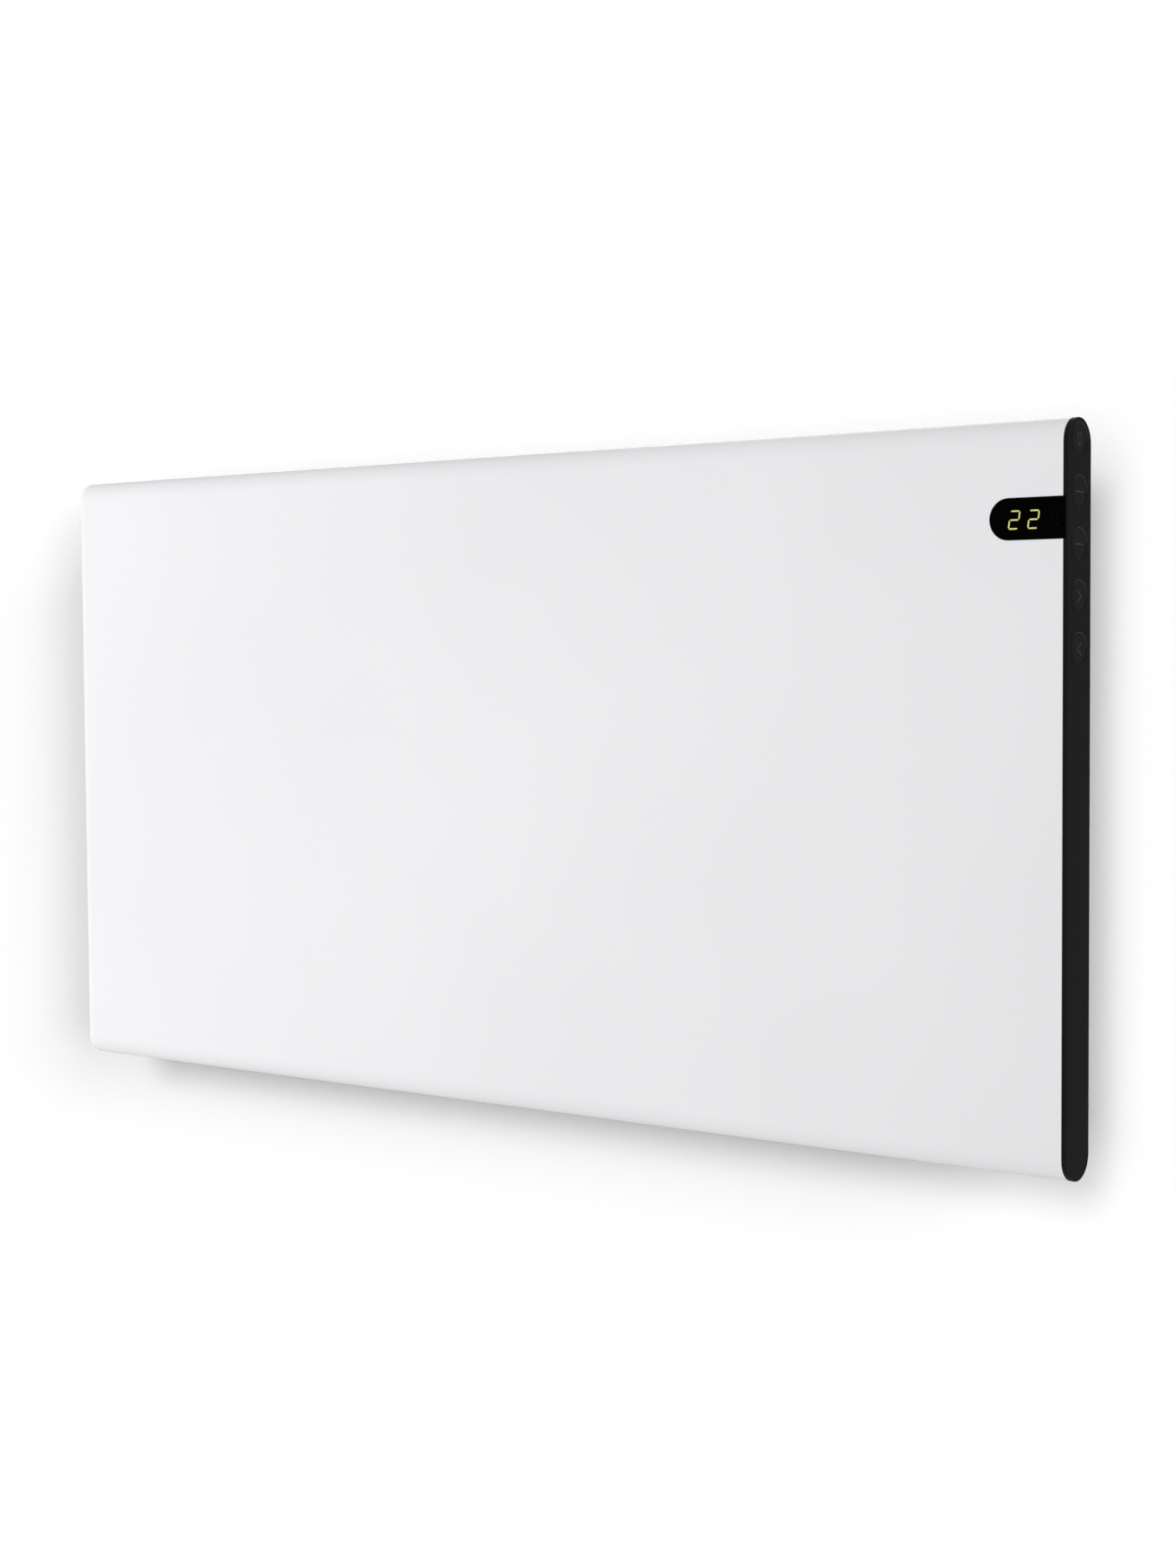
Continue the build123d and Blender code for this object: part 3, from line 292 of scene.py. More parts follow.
def zinc_plating():
    """Bright zinc-plated steel of screws and pins, slightly blue, with fine tumbling marks."""
    material, tree, shader, place = new_surface("zinc_plating", "C3C7CC", 0.3, metallic=1.0)
    height = grain(tree, shader, place, 0.25, 0.006, (0.24, 0.4))
    tint(tree, shader, height, "B4B9C0", "CFD2D6")
    return material


def moulded_rubber():
    """Matt black moulded rubber with a dusty bloom."""
    material, tree, shader, place = new_surface("moulded_rubber", "1B1B1B", 0.8, specular=0.3)
    height = grain(tree, shader, place, 0.8, 0.02, (0.72, 0.9))
    tint(tree, shader, height, "161616", "262625")
    return material


def black_nylon():
    """Glass-filled black nylon of the latches and the gland: matt, with a slight flow pattern."""
    material, tree, shader, place = new_surface("black_nylon", "1F1F20", 0.5, specular=0.4)
    height = grain(tree, shader, place, 0.6, 0.015, (0.42, 0.6))
    tint(tree, shader, height, "19191A", "262627")
    return material


def textured_powder_coat():
    """Textured white powder coat of the housing and back plate: a fine, leather-like grain."""
    material, tree, shader, place = new_surface("textured_powder_coat", "E2E2E3", 0.5)
    height = grain(tree, shader, place, 0.9, 0.03, (0.45, 0.6))
    tint(tree, shader, height, "DEDEDF", "E6E6E7")
    return material


def extruded_aluminium():
    """Mill-finish extruded aluminium: fine die lines along the bar, with dull and bright streaks."""
    material, tree, shader, place = new_surface("extruded_aluminium", "BFC1C3", 0.35, metallic=1.0)
    along = add(tree, "ShaderNodeMapping", {"Vector": place, "Scale": (0.01, 1.0, 1.0)})
    height = grain(tree, shader, along.outputs["Vector"], 0.4, 0.01, (0.28, 0.45))
    tint(tree, shader, height, "B0B2B4", "CCCED0")
    return material


def heat_tinted_steel():
    """Stainless element tube, browned by its own heat in soft bands."""
    material, tree, shader, place = new_surface("heat_tinted_steel", "8A7F72", 0.35, metallic=1.0)
    grain(tree, shader, place, 0.3, 0.005, (0.3, 0.42))
    bands = add(tree, "ShaderNodeTexNoise", {"Vector": place, "Scale": 1 / (33.3 * MM), "Detail": 1.0})
    tint(tree, shader, bands.outputs["Fac"], "6E6154", "A39A8E")
    return material


def steatite():
    """Unglazed steatite ceramic: off-white and chalky."""
    material, tree, shader, place = new_surface("steatite", "E4DECF", 0.75, specular=0.3)
    height = grain(tree, shader, place, 0.4, 0.02, (0.68, 0.85))
    tint(tree, shader, height, "DDD6C6", "EAE5D8")
    return material


def rolled_steel():
    """Cold-rolled steel with long rolling marks."""
    material, tree, shader, place = new_surface("rolled_steel", "9C9D9E", 0.36, metallic=1.0)
    along = add(tree, "ShaderNodeMapping", {"Vector": place, "Scale": (0.05, 1.0, 1.0)})
    height = grain(tree, shader, along.outputs["Vector"], 0.5, 0.006, (0.3, 0.45))
    tint(tree, shader, height, "8E8F90", "AAABAC")
    return material


def bright_aluminium():
    """Bright rolled aluminium foil sheet of the heat shield."""
    material, tree, shader, place = new_surface("bright_aluminium", "CDCFD1", 0.2, metallic=1.0)
    along = add(tree, "ShaderNodeMapping", {"Vector": place, "Scale": (0.03, 1.0, 1.0)})
    height = grain(tree, shader, along.outputs["Vector"], 0.6, 0.01, (0.15, 0.3))
    tint(tree, shader, height, "C2C4C6", "D6D8DA")
    return material


def solder_mask():
    """Green solder mask over copper tracks, which show as a slightly lighter relief."""
    material, tree, shader, place = new_surface("solder_mask", "1F6B38", 0.3)
    tracks = add(tree, "ShaderNodeTexVoronoi", {"Vector": place, "Scale": 1 / (4 * MM)}, distance="MANHATTAN")
    tint(tree, shader, tracks.outputs["Distance"], "195A2E", "2A7C45", low=0.3, high=0.36)
    bump = add(tree, "ShaderNodeBump", {"Height": tracks.outputs["Distance"], "Distance": 0.03 * MM})
    tree.links.new(bump.outputs["Normal"], shader.inputs["Normal"])
    return material


def component_epoxy():
    """Black epoxy and plastic housings of the components."""
    material, tree, shader, place = new_surface("component_epoxy", "202021", 0.45)
    height = grain(tree, shader, place, 0.3, 0.01, (0.38, 0.55))
    tint(tree, shader, height, "1A1A1B", "282829")
    return material


def natural_nylon():
    """Natural nylon: milky and slightly yellow."""
    material, tree, shader, place = new_surface("natural_nylon", "DCD8CA", 0.45)
    height = grain(tree, shader, place, 0.7, 0.01, (0.4, 0.55))
    tint(tree, shader, height, "D5D0C0", "E2DED2")
    return material


def terminal_nylon():
    """Green moulded nylon of the terminal block."""
    material, tree, shader, place = new_surface("terminal_nylon", "3E7A4C", 0.45)
    height = grain(tree, shader, place, 0.5, 0.01, (0.4, 0.55))
    tint(tree, shader, height, "387045", "448354")
    return material


def silicone_sleeve():
    """Silicone sleeving over the leads: soft, dull and cream-coloured."""
    material, tree, shader, place = new_surface("silicone_sleeve", "D0C9B8", 0.6)
    height = grain(tree, shader, place, 0.5, 0.02, (0.5, 0.7))
    tint(tree, shader, height, "C8C0AE", "D8D2C3")
    return material


def ribbon_vinyl():
    """Grey ribbon cable: ridged once for each of its wires."""
    material, tree, shader, place = new_surface("ribbon_vinyl", "8E9093", 0.5)
    wires_apart, waves = 1.27 * MM, 3  # the texture runs through about three waves at a scale of one
    scale = 1 / wires_apart / waves
    ridges = add(tree, "ShaderNodeTexWave", {"Vector": place, "Scale": scale}, bands_direction="Z")
    bump = add(tree, "ShaderNodeBump", {"Height": ridges.outputs["Fac"], "Distance": 0.3 * MM})
    tree.links.new(bump.outputs["Normal"], shader.inputs["Normal"])
    tint(tree, shader, ridges.outputs["Fac"], "808285", "9A9C9F")
    return material


FINISHES = {
    "white_enamel": white_powder_coat(),
    "white_plastic": white_abs(),
    "black_plastic": black_abs(),
    "button_plastic": button_abs(),
    "display_glass": smoked_acrylic(),
    "lit_segments": lit_segment(),
    "galvanised_steel": galvanised_sheet(),
    "zinc_steel": zinc_plating(),
    "rubber": moulded_rubber(),
    "latch_plastic": black_nylon(),
    "housing_steel": textured_powder_coat(),
    "element_aluminium": extruded_aluminium(),
    "rod_steel": heat_tinted_steel(),
    "ceramic": steatite(),
    "plain_steel": rolled_steel(),
    "shield_aluminium": bright_aluminium(),
    "circuit_board": solder_mask(),
    "black_component": component_epoxy(),
    "pale_component": natural_nylon(),
    "terminal_plastic": terminal_nylon(),
    "lead_silicone": silicone_sleeve(),
    "ribbon_pvc": ribbon_vinyl(),
}
for subpart in frame["record"]["subparts"]:
    for slot in nodes[subpart["node"]].material_slots:
        slot.material = FINISHES[subpart["material_slot"]]


# ---------------------------------------------------------------- repeated pieces
def loose_solids(mesh):
    """Places of the points of each separate solid in a mesh."""
    form = bmesh.new()
    form.from_mesh(mesh)
    bmesh.ops.remove_doubles(form, verts=form.verts, dist=WELD)
    solids, seen = [], set()
    for first in form.verts:
        if first in seen:
            continue
        seen.add(first)
        found, waiting = [], [first]
        while waiting:
            point = waiting.pop()
            found.append(point.co.copy())
            for edge in point.link_edges:
                other = edge.other_vert(point)
                if other not in seen:
                    seen.add(other)
                    waiting.append(other)
        solids.append(found)
    form.free()
    return solids


def fastener_seats(node):
    """Where each screw or rivet of a node sits, the way it faces, its shank's length, and the sizes they share.
    They all stand along Y, and the head is the wider end."""
    seats = []
    for solid in loose_solids(nodes[node].data):
        low, high = [Vector(pick(p[i] for p in solid) for i in range(3)) for pick in (min, max)]
        middle = (low + high) / 2
        reach = {p.freeze(): math.hypot(p.x - middle.x, p.z - middle.z) for p in solid}
        widest = max(reach.values())
        head = [p.y for p, r in reach.items() if r > HEAD_SHARE * widest]
        up = 1 if max(head) > high.y - LEVEL else -1
        seat, tail = (min(head), low.y) if up == 1 else (max(head), high.y)
        shank = max(r for p, r in reach.items() if abs(p.y - tail) < LEVEL)
        seats.append(((middle.x, seat, middle.z), (0, up, 0), abs(seat - tail)))
    return seats, {"Head Radius": widest, "Head Height": max(head) - min(head), "Shank Radius": shank}


def points_mesh(name, seats):
    """Loose points, each with the way that it faces and a length."""
    mesh = bpy.data.meshes.new(name)
    mesh.from_pydata([seat[0] for seat in seats], [], [])
    facing = mesh.attributes.new("facing", "FLOAT_VECTOR", "POINT")
    facing.data.foreach_set("vector", [value for seat in seats for value in seat[1]])
    length = mesh.attributes.new("length", "FLOAT", "POINT")
    length.data.foreach_set("value", [seat[2] for seat in seats])
    return mesh


def new_tree(name, sizes):
    """Empty tree that takes points, a finish, a seed and named sizes, and gives back geometry."""
    tree = bpy.data.node_groups.new(name, "GeometryNodeTree")
    inputs = [("Geometry", "Geometry"), ("Finish", "Material"), ("Seed", "Int")]
    for label, kind in inputs + [(size, "Float") for size in sizes]:
        tree.interface.new_socket(label, in_out="INPUT", socket_type=f"NodeSocket{kind}")
    tree.interface.new_socket("Geometry", in_out="OUTPUT", socket_type="NodeSocketGeometry")
    return tree, add(tree, "NodeGroupInput").outputs


def end_tree(tree, given, pieces, sharp_edge=SHARP_EDGE):
    """Make the instances real, shade them smooth up to their sharp edges and give them their finish."""
    joined = add(tree, "GeometryNodeJoinGeometry", {"Geometry": pieces})
    smooth = add(tree, "GeometryNodeSetShadeSmooth", {"Geometry": joined.outputs[0]}, domain="FACE")
    bend = add(tree, "GeometryNodeInputMeshEdgeAngle").outputs["Unsigned Angle"]
    sharp = add(tree, "FunctionNodeCompare", {0: bend, 1: math.radians(sharp_edge)}, operation="GREATER_THAN")
    creased = add(
        tree,
        "GeometryNodeSetShadeSmooth",
        {"Geometry": smooth.outputs[0], "Selection": sharp.outputs[0], "Shade Smooth": False},
        domain="EDGE",
    )
    real = add(tree, "GeometryNodeRealizeInstances", {"Geometry": creased.outputs[0]})
    finished = add(tree, "GeometryNodeSetMaterial", {"Geometry": real.outputs[0], "Material": given["Finish"]})
    add(tree, "NodeGroupOutput", {"Geometry": finished.outputs[0]})


def stand(tree, given, piece, turned=False, scale=None):
    """Put a piece on each point with its Z the way that the point faces, turned at random if asked."""
    facing = add(tree, "GeometryNodeInputNamedAttribute", {"Name": "facing"}, data_type="FLOAT_VECTOR")
    rotation = add(tree, "FunctionNodeAlignRotationToVector", {"Vector": facing.outputs[0]}, axis="Z")
    if turned:
        chance = {2: 0.0, 3: math.pi, "Seed": given["Seed"]}
        angle = add(tree, "FunctionNodeRandomValue", chance, data_type="FLOAT")
        turn = add(tree, "FunctionNodeAxisAngleToRotation", {"Axis": (0, 0, 1), "Angle": angle.outputs[1]})
        both = {"Rotation": rotation.outputs[0], "Rotate By": turn.outputs[0]}
        rotation = add(tree, "FunctionNodeRotateRotation", both, rotation_space="LOCAL")
    inputs = {"Points": given["Geometry"], "Instance": piece, "Rotation": rotation.outputs[0]}
    if scale:
        inputs["Scale"] = scale
    return add(tree, "GeometryNodeInstanceOnPoints", inputs).outputs[0]


def shanks(tree, given):
    """Round shank below each point, as long as the point says."""
    length = add(tree, "GeometryNodeInputNamedAttribute", {"Name": "length"}, data_type="FLOAT").outputs[0]
    rod = add(tree, "GeometryNodeMeshCylinder", {"Vertices": 20, "Radius": given["Shank Radius"], "Depth": 1.0})
    below = add(tree, "GeometryNodeTransform", {"Geometry": rod.outputs["Mesh"], "Translation": (0, 0, -0.5)})
    scale = add(tree, "ShaderNodeCombineXYZ", {"X": 1.0, "Y": 1.0, "Z": length})
    return stand(tree, given, below.outputs[0], scale=scale.outputs[0])


FASTENER_SIZES = ("Head Radius", "Head Height", "Dome Height", "Shank Radius")


def rounded_head(tree, given):
    """Dome of the head's radius with a flat underside, cut flat again at the head's height."""
    ball = add(tree, "GeometryNodeMeshUVSphere", {"Segments": 32, "Rings": 20, "Radius": 1.0}).outputs["Mesh"]
    reach = {"X": given["Head Radius"], "Y": given["Head Radius"], "Z": given["Dome Height"]}
    scale = add(tree, "ShaderNodeCombineXYZ", reach).outputs[0]
    egg = add(tree, "GeometryNodeTransform", {"Geometry": ball, "Scale": scale}).outputs[0]
    place = add(tree, "ShaderNodeSeparateXYZ", {0: add(tree, "GeometryNodeInputPosition").outputs[0]}).outputs
    level = add(tree, "ShaderNodeClamp", {"Value": place["Z"], "Min": 0.0, "Max": given["Head Height"]}).outputs[0]
    cut = add(tree, "ShaderNodeCombineXYZ", {"X": place["X"], "Y": place["Y"], "Z": level}).outputs[0]
    return add(tree, "GeometryNodeSetPosition", {"Geometry": egg, "Position": cut}).outputs[0]


def pan_head_screws():
    """Pan-head screws with a cross recess, cut by two blades whose middles are level with the head's top."""
    blade_sizes = ("Blade Length", "Blade Width", "Blade Height")
    tree, given = new_tree("pan_head_screws", FASTENER_SIZES + blade_sizes)
    length, width, height = [given[size] for size in blade_sizes]
    head = rounded_head(tree, given)
    top = add(tree, "ShaderNodeCombineXYZ", {"Z": given["Head Height"]}).outputs[0]
    for x, y in ((length, width), (width, length)):
        size = add(tree, "ShaderNodeCombineXYZ", {"X": x, "Y": y, "Z": height}).outputs[0]
        blade = add(tree, "GeometryNodeMeshCube", {"Size": size}).outputs["Mesh"]
        raised = add(tree, "GeometryNodeTransform", {"Geometry": blade, "Translation": top}).outputs[0]
        pair = {"Mesh 1": head, "Mesh 2": raised}
        head = add(tree, "GeometryNodeMeshBoolean", pair, operation="DIFFERENCE").outputs[0]
    end_tree(tree, given, [stand(tree, given, head, turned=True), shanks(tree, given)])
    return tree


def dome_rivets():
    """Rivets with a plain low dome."""
    tree, given = new_tree("dome_rivets", FASTENER_SIZES)
    end_tree(tree, given, [stand(tree, given, rounded_head(tree, given)), shanks(tree, given)])
    return tree


def moulded_rings():
    """A round bead bent into a ring on each point, which notes how far each place lies towards the side where a
    painted highlight goes.
    """
    tree, given = new_tree("moulded_rings", ("Ring Radius", "Bead Radius"))
    ring = add(tree, "GeometryNodeCurvePrimitiveCircle", {"Resolution": 64, "Radius": given["Ring Radius"]})
    bead = add(tree, "GeometryNodeCurvePrimitiveCircle", {"Resolution": 10, "Radius": given["Bead Radius"]})
    tube = add(tree, "GeometryNodeCurveToMesh", {"Curve": ring.outputs[0], "Profile Curve": bead.outputs[0]})
    rings = stand(tree, given, tube.outputs[0])
    real = add(tree, "GeometryNodeRealizeInstances", {"Geometry": rings}).outputs[0]
    here = add(tree, "GeometryNodeInputPosition").outputs[0]
    nearest = add(tree, "GeometryNodeSampleNearest", {"Geometry": given["Geometry"], "Sample Position": here})
    middle = {"Geometry": given["Geometry"], "Value": here, "Index": nearest.outputs[0]}
    centre = add(tree, "GeometryNodeSampleIndex", middle, data_type="FLOAT_VECTOR").outputs[0]
    # how far each place lies towards the side that carries the rims' painted highlight
    off = add(tree, "ShaderNodeVectorMath", {0: here, 1: centre}, operation="SUBTRACT").outputs[0]
    toward = add(tree, "ShaderNodeVectorMath", {0: off, 1: HIGHLIGHT_SIDE}, operation="DOT_PRODUCT").outputs["Value"]
    share = add(tree, "ShaderNodeMath", {0: toward, 1: given["Ring Radius"]}, operation="DIVIDE").outputs[0]
    note = {"Geometry": real, "Name": "toward_rubbed_side", "Value": share}
    noted = add(tree, "GeometryNodeStoreNamedAttribute", note).outputs[0]
    end_tree(tree, given, [noted], sharp_edge=ROUND_BEAD)
    return tree


def grip_ribs():
    """Ribs round a nut, their middles level with the point, each with a rounded tip the way that it faces."""
    tree, given = new_tree("grip_ribs", ("Nut Radius", "Rib Radius", "Rib Length", "Tip Height", "Ribs"))
    ring = add(tree, "GeometryNodeMeshCircle", {"Vertices": given["Ribs"], "Radius": given["Nut Radius"]})
    core = add(tree, "GeometryNodeMeshCylinder", {"Vertices": 12, "Radius": given["Rib Radius"], "Depth": 1.0})
    ball = add(tree, "GeometryNodeMeshIcoSphere", {"Radius": given["Rib Radius"], "Subdivisions": 2})
    tip = add(tree, "ShaderNodeCombineXYZ", {"Z": given["Tip Height"]})
    end = add(tree, "GeometryNodeTransform", {"Geometry": ball.outputs["Mesh"], "Translation": tip.outputs[0]})
    long = add(tree, "ShaderNodeCombineXYZ", {"X": 1.0, "Y": 1.0, "Z": given["Rib Length"]})
    body = add(tree, "GeometryNodeTransform", {"Geometry": core.outputs["Mesh"], "Scale": long.outputs[0]})
    rib = add(tree, "GeometryNodeJoinGeometry", {"Geometry": [body.outputs[0], end.outputs[0]]})
    places = {"Points": ring.outputs["Mesh"], "Instance": rib.outputs[0]}
    ribs = add(tree, "GeometryNodeInstanceOnPoints", places).outputs[0]
    end_tree(tree, given, [stand(tree, given, ribs)])
    return tree


def grow(name, tree, seats, body, finish, sizes, seed=7):
    """Run a tree on seats and keep what it makes as a plain mesh that rides on a body."""
    host = bpy.data.objects.new(f"{name}_points", points_mesh(f"{name}_points", seats))
    bpy.context.scene.collection.objects.link(host)
    modifier = host.modifiers.new(name, "NODES")
    modifier.node_group = tree
    values = {"Finish": finish, "Seed": seed} | sizes
    for socket in tree.interface.items_tree:
        if socket.in_out == "INPUT" and socket.name in values:
            modifier[socket.identifier] = values[socket.name]
    mesh = bpy.data.meshes.new_from_object(host.evaluated_get(bpy.context.evaluated_depsgraph_get()))
    mesh.name = name
    host.modifiers.remove(modifier)
    bpy.data.objects.remove(host)
    piece = mesh_object(name, mesh, body, finish)
    return piece


zinc = FINISHES["zinc_steel"]
screw_tree = pan_head_screws()
SCREW_NODES = ("back_plate_screws", "cap_screws", "element_screws", "hanger_screws", "spacer_screws")
for seed, node in enumerate(SCREW_NODES):
    seats, sizes = fastener_seats(node)
    sizes["Dome Height"] = sizes["Head Height"] * DOME
    sizes["Blade Length"] = sizes["Head Radius"] * RECESS_ARM * 2
    sizes["Blade Width"] = sizes["Head Radius"] * RECESS_SLOT * 2
    sizes["Blade Height"] = sizes["Head Height"] * RECESS_DEPTH * 2
    screws = grow(f"{node}_cross_headed", screw_tree, seats, "heater", zinc, sizes, seed)
    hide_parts(node)

seats, sizes = fastener_seats("bracket_rivets")
sizes["Dome Height"] = sizes["Head Height"]
rivets = grow("bracket_rivets_domed", dome_rivets(), seats, "wall_bracket", zinc, sizes)
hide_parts("bracket_rivets")

# Grip ribs on the cable gland's nut, and the lip of its rubber seal round the mouth
OUTWARD = (0, 1, 0)  # the gland's mouth faces the wall
gland_low, gland_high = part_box("cable_gland")
gland_x, gland_z = (gland_low[0] + gland_high[0]) / 2, (gland_low[2] + gland_high[2]) / 2
rib_seats = [((gland_x, gland_high[1] - GRIP_LENGTH / 2 - GRIP_SETBACK, gland_z), OUTWARD, 0.0)]
sizes = {"Nut Radius": GRIP_RADIUS, "Rib Radius": GRIP_RIB, "Ribs": GRIP_RIBS}
sizes |= {"Rib Length": GRIP_LENGTH, "Tip Height": GRIP_LENGTH / 2}
gland_finish = FINISHES["black_component"]
grow("cable_gland_grip", grip_ribs(), rib_seats, "heater", gland_finish, sizes)

ring_tree = moulded_rings()
mouth_seats = [((gland_x, gland_high[1] - SEAL_BEAD / 2, gland_z), OUTWARD, 0.0)]
sizes = {"Ring Radius": SEAL_RADIUS, "Bead Radius": SEAL_BEAD}
grow("cable_gland_seal", ring_tree, mouth_seats, "heater", FINISHES["rubber"], sizes)


# ---------------------------------------------------------------- buttons and display
def flat_print(name, outlines, side=None, front=None):
    """Thin raised print: closed outlines as prisms, of (y, z) points at a place on the side face or (x, z) points
    at a place on the front."""
    form = bmesh.new()
    for outline in outlines:
        if side is not None:
            rows = [[(side + lift, y, z) for y, z in outline] for lift in (0, PRINT_LIFT)]
        else:
            rows = [[(x, front - lift, z) for x, z in outline] for lift in (0, PRINT_LIFT)]
        low, high = [[form.verts.new(place) for place in row] for row in rows]
        form.faces.new(high)
        form.faces.new(low[::-1])
        for i in range(len(outline)):
            j = (i + 1) % len(outline)
            form.faces.new((low[i], low[j], high[j], high[i]))
    bmesh.ops.recalc_face_normals(form, faces=form.faces)
    mesh = bpy.data.meshes.new(name)
    form.to_mesh(mesh)
    form.free()
    return mesh


SQUARE = ((-1, -1), (1, -1), (1, 1), (-1, 1))  # corners of a square of half width one, in turn


def bar(start, end):
    """Outline of one straight stroke between two (y, z) points."""
    run = Vector(end) - Vector(start)
    side = Vector((-run.y, run.x)).normalized() * SYMBOL_STROKE / 2
    return [tuple(Vector(p) + s) for p, s in ((start, -side), (end, -side), (end, side), (start, side))]


def symbol_strokes(number, y, z):
    """Strokes of each button's mark, round the button's centre: an upright box, two bars and two chevrons."""
    if number == 1:
        half_y, half_z = SWITCH_MARK[0] / 2, SWITCH_MARK[1] / 2
        corners = [(y + i * half_y, z + j * half_z) for i, j in SQUARE]
        return [bar(corners[i], corners[(i + 1) % 4]) for i in range(4)]
    if number in (2, 3):
        return [bar((y - SYMBOL_BAR / 2, z), (y + SYMBOL_BAR / 2, z))]
    point = 1 if number == 4 else -1
    tip = (y + point * CHEVRON_DEPTH / 2, z)
    ends = [(y - point * CHEVRON_DEPTH / 2, z + i * CHEVRON_HALF_HEIGHT) for i in (-1, 1)]
    return [bar(end, tip) for end in ends]


def figure_two(middle):
    """Outlines of the five segments of a leaning figure 2, each a bar with pointed ends, as (x, z) points."""
    right, top = [(size - SEGMENT_STROKE) / 2 for size in DIGIT]
    route = [(-right, top), (right, top), (right, 0), (-right, 0), (-right, -top), (right, -top)]
    outlines = []
    for start, end in zip(route, route[1:]):
        run = (Vector(end) - Vector(start)).normalized()
        across = Vector((-run.y, run.x)) * SEGMENT_STROKE / 2
        near = Vector(start) + run * SEGMENT_GAP
        far = Vector(end) - run * SEGMENT_GAP
        neck = run * SEGMENT_STROKE / 2
        shape = [near, near + neck - across, far - neck - across]
        shape += [far, far - neck + across, near + neck + across]
        outlines.append([(middle + p.x + p.y * DIGIT_LEAN, DIGIT_LEVEL + p.y) for p in shape])
    return outlines


print_ink = grey_print()
rim_seats = []
for number in range(1, 6):
    low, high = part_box(f"button_{number}")
    middle_y, middle_z = (low[1] + high[1]) / 2, (low[2] + high[2]) / 2
    name = f"button_{number}_mark"
    mesh = flat_print(name, symbol_strokes(number, middle_y, middle_z), side=high[0])
    mesh_object(name, mesh, f"button_{number}", print_ink)
    rim_seats.append(((high[0], middle_y, middle_z), (1, 0, 0), 0.0))
sizes = {"Ring Radius": RIM_RADIUS, "Bead Radius": RIM_BEAD}
# the rims' finish paints a highlight on their top and back
grow("button_rims", ring_tree, rim_seats, "heater", rim_with_painted_highlight(), sizes)

# The lit segments shine through the window, so they are drawn on its face, with unlit indicators beside them
window_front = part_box("display_window")[0][1]
segments = [outline for middle in DIGIT_CENTRES for outline in figure_two(middle)]
mesh = flat_print("display_glow", segments, front=window_front)
mesh_object("display_glow", mesh, "heater", FINISHES["lit_segments"])

half = INDICATOR / 2
indicator_rows = [DIGIT_LEVEL + row * INDICATOR_PITCH for row in (-1, 0, 1)]
squares = [[(x + i * half, z + j * half) for i, j in SQUARE] for x in INDICATOR_COLUMNS for z in indicator_rows]
mesh = flat_print("unlit_indicators", squares, front=window_front)
mesh_object("unlit_indicators", mesh, "heater", unlit_indicator())


# ---------------------------------------------------------------- stage, light and camera
def backdrop(name, colour, glow, place, rotation):
    """Large plain plane of the stage. It is clear from behind, so that the heater is seen from any side."""
    bpy.ops.mesh.primitive_plane_add(size=STAGE_SIZE, location=place, rotation=rotation)
    plane = bpy.context.object
    plane.name = name
    plane.visible_diffuse = plane.visible_glossy = plane.visible_shadow = plane.visible_transmission = False
    material, tree, shader, _ = new_surface(f"{name}_paint", colour, 0.9, specular=0.0)
    shader.inputs["Emission Color"].default_value = (1, 1, 1, 1)
    shader.inputs["Emission Strength"].default_value = glow
    clear = add(tree, "ShaderNodeBsdfTransparent")
    side = add(tree, "ShaderNodeNewGeometry").outputs["Backfacing"]
    mix = add(tree, "ShaderNodeMixShader", {"Fac": side, 1: shader.outputs[0], 2: clear.outputs[0]})
    tree.links.new(mix.outputs[0], tree.nodes["Material Output"].inputs["Surface"])
    plane.data.materials.append(material)
    return plane


def wall_sun(wall, name, place, spread, strength):
    """Wide distant light that falls on the wall alone and takes the heater's shadow there."""
    lamp = bpy.data.lights.new(name, "SUN")
    lamp.angle = math.radians(spread)
    lamp.energy = strength
    light = bpy.data.objects.new(name, lamp)
    light.rotation_euler = (-Vector(place)).to_track_quat("-Z", "Y").to_euler()
    bpy.context.scene.collection.objects.link(light)
    lit = bpy.data.collections.new(f"lit_by_{name}")
    lit.objects.link(wall)
    light.light_linking.receiver_collection = lit


def softbox(name, place, size, energy, seen_in_gloss):
    """Soft light aimed at the heater."""
    lamp = bpy.data.lights.new(name, "AREA")
    lamp.shape = "RECTANGLE"
    lamp.size, lamp.size_y = size
    lamp.energy = energy
    light = bpy.data.objects.new(name, lamp)
    light.location = place
    light.rotation_euler = (-Vector(place)).to_track_quat("-Z", "Y").to_euler()
    light.visible_camera = False
    light.visible_glossy = seen_in_gloss
    bpy.context.scene.collection.objects.link(light)


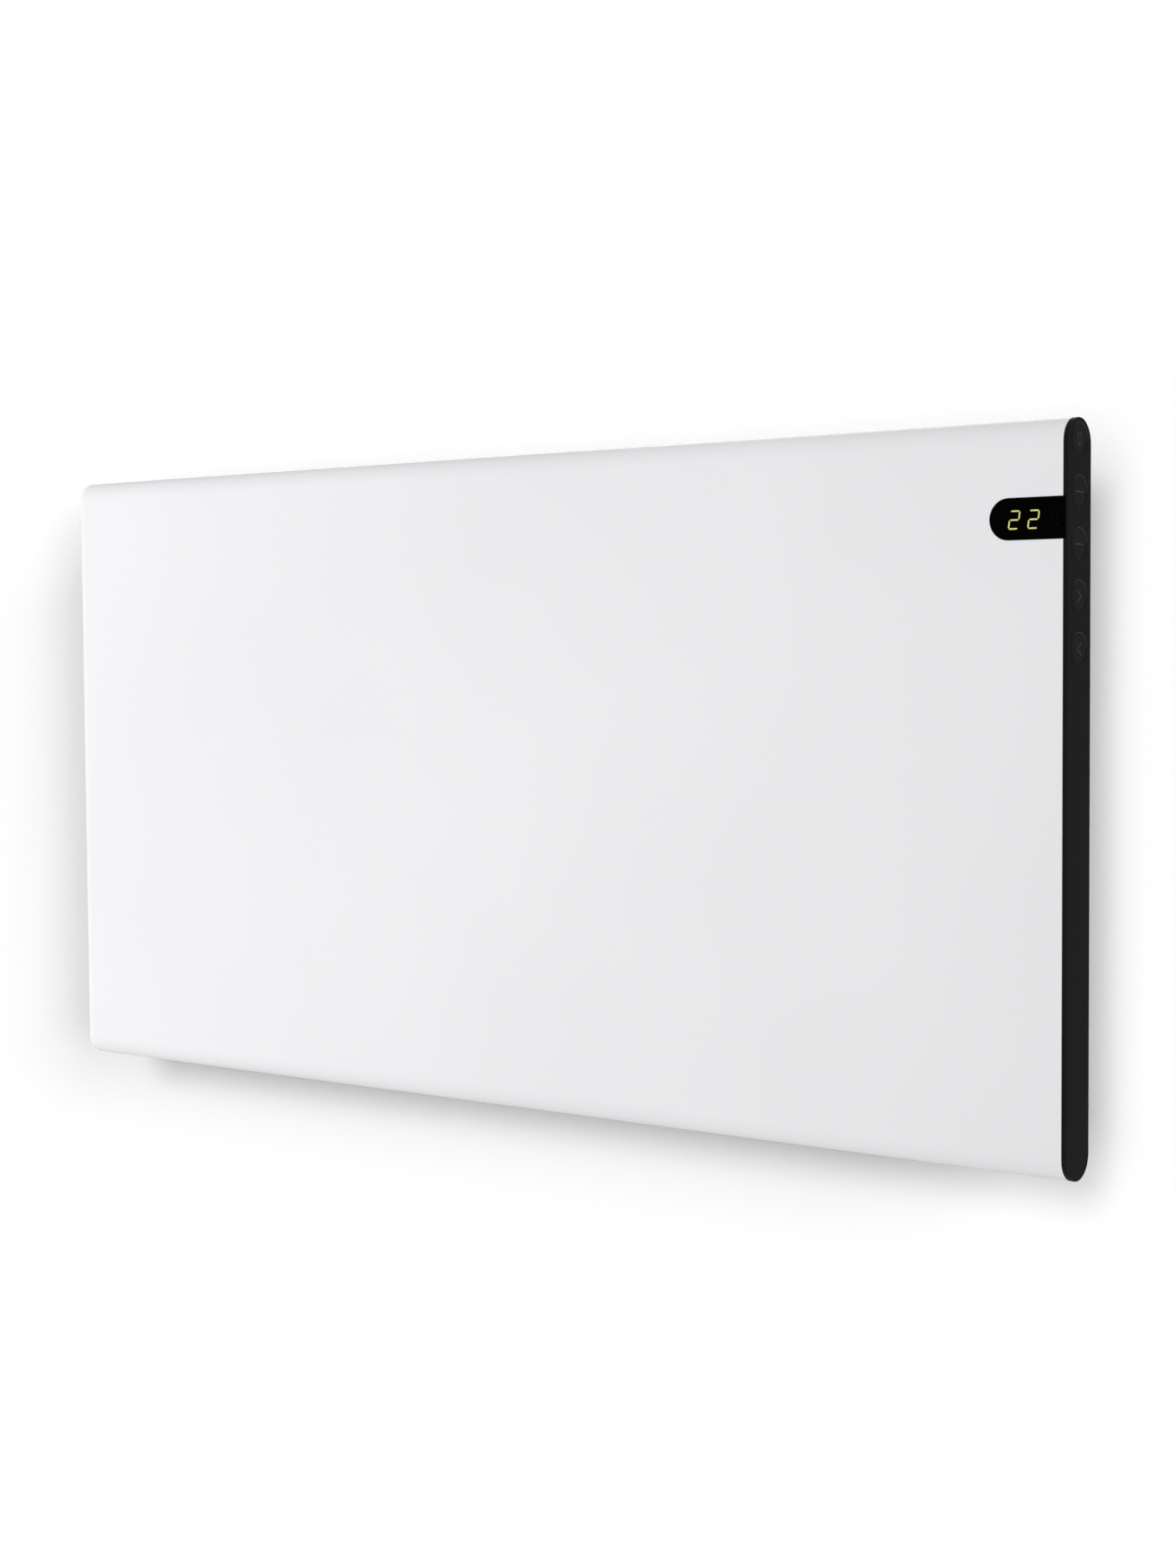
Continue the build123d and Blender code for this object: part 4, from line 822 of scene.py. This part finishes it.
def studio():
    """White surroundings that light the heater more from the front left, with a large soft light there and one
    behind, and the weak light that a pale floor and ceiling throw back on the rounded edges."""
    world = bpy.data.worlds.new("studio")
    bpy.context.scene.world = world
    world.use_nodes = True
    tree = world.node_tree
    around = tree.nodes["Background"]
    around.inputs["Color"].default_value = (1, 1, 1, 1)
    way = add(tree, "ShaderNodeTexCoord").outputs["Generated"]
    facing = add(tree, "ShaderNodeVectorMath", {0: way, 1: BRIGHT_SIDE}, operation="DOT_PRODUCT")
    span = {"Value": facing.outputs["Value"], "From Min": -1, "To Min": AMBIENT[0], "To Max": AMBIENT[1]}
    level = add(tree, "ShaderNodeMapRange", span)
    tree.links.new(level.outputs["Result"], around.inputs["Strength"])
    white = add(tree, "ShaderNodeBackground", {"Color": (1, 1, 1, 1), "Strength": 1.0})
    seen = add(tree, "ShaderNodeLightPath").outputs["Is Camera Ray"]
    mix = add(tree, "ShaderNodeMixShader", {"Fac": seen, 1: around.outputs[0], 2: white.outputs[0]})
    tree.links.new(mix.outputs[0], tree.nodes["World Output"].inputs["Surface"])
    for light in SOFTBOXES:
        softbox(*light)
    bpy.context.scene.view_settings.view_transform = "Standard"


def photo_camera():
    """Camera where the photograph was taken from."""
    yaw = Matrix.Rotation(CAMERA_TURN, 3, "Z")
    tilt = Matrix.Rotation(math.pi / 2 - CAMERA_TILT, 3, "X")
    roll = Matrix.Rotation(CAMERA_ROLL, 3, "Z")
    lens = bpy.data.cameras.new("photo_camera")
    lens.lens = LENS_MM
    lens.sensor_width = SENSOR_MM
    camera = bpy.data.objects.new("photo_camera", lens)
    camera.matrix_world = Matrix.Translation(CAMERA_PLACE) @ (yaw @ tilt @ roll).to_4x4()
    bpy.context.scene.collection.objects.link(camera)
    bpy.context.scene.camera = camera


studio()
backdrop("studio_floor", FLOOR_PAINT, FLOOR_GLOW, FLOOR_PLACE, (0, 0, 0))
wall = backdrop("studio_wall", WALL_PAINT, WALL_GLOW, WALL_PLACE, (math.pi / 2, 0, 0))
for sun in WALL_SUNS:
    wall_sun(wall, *sun)
photo_camera()
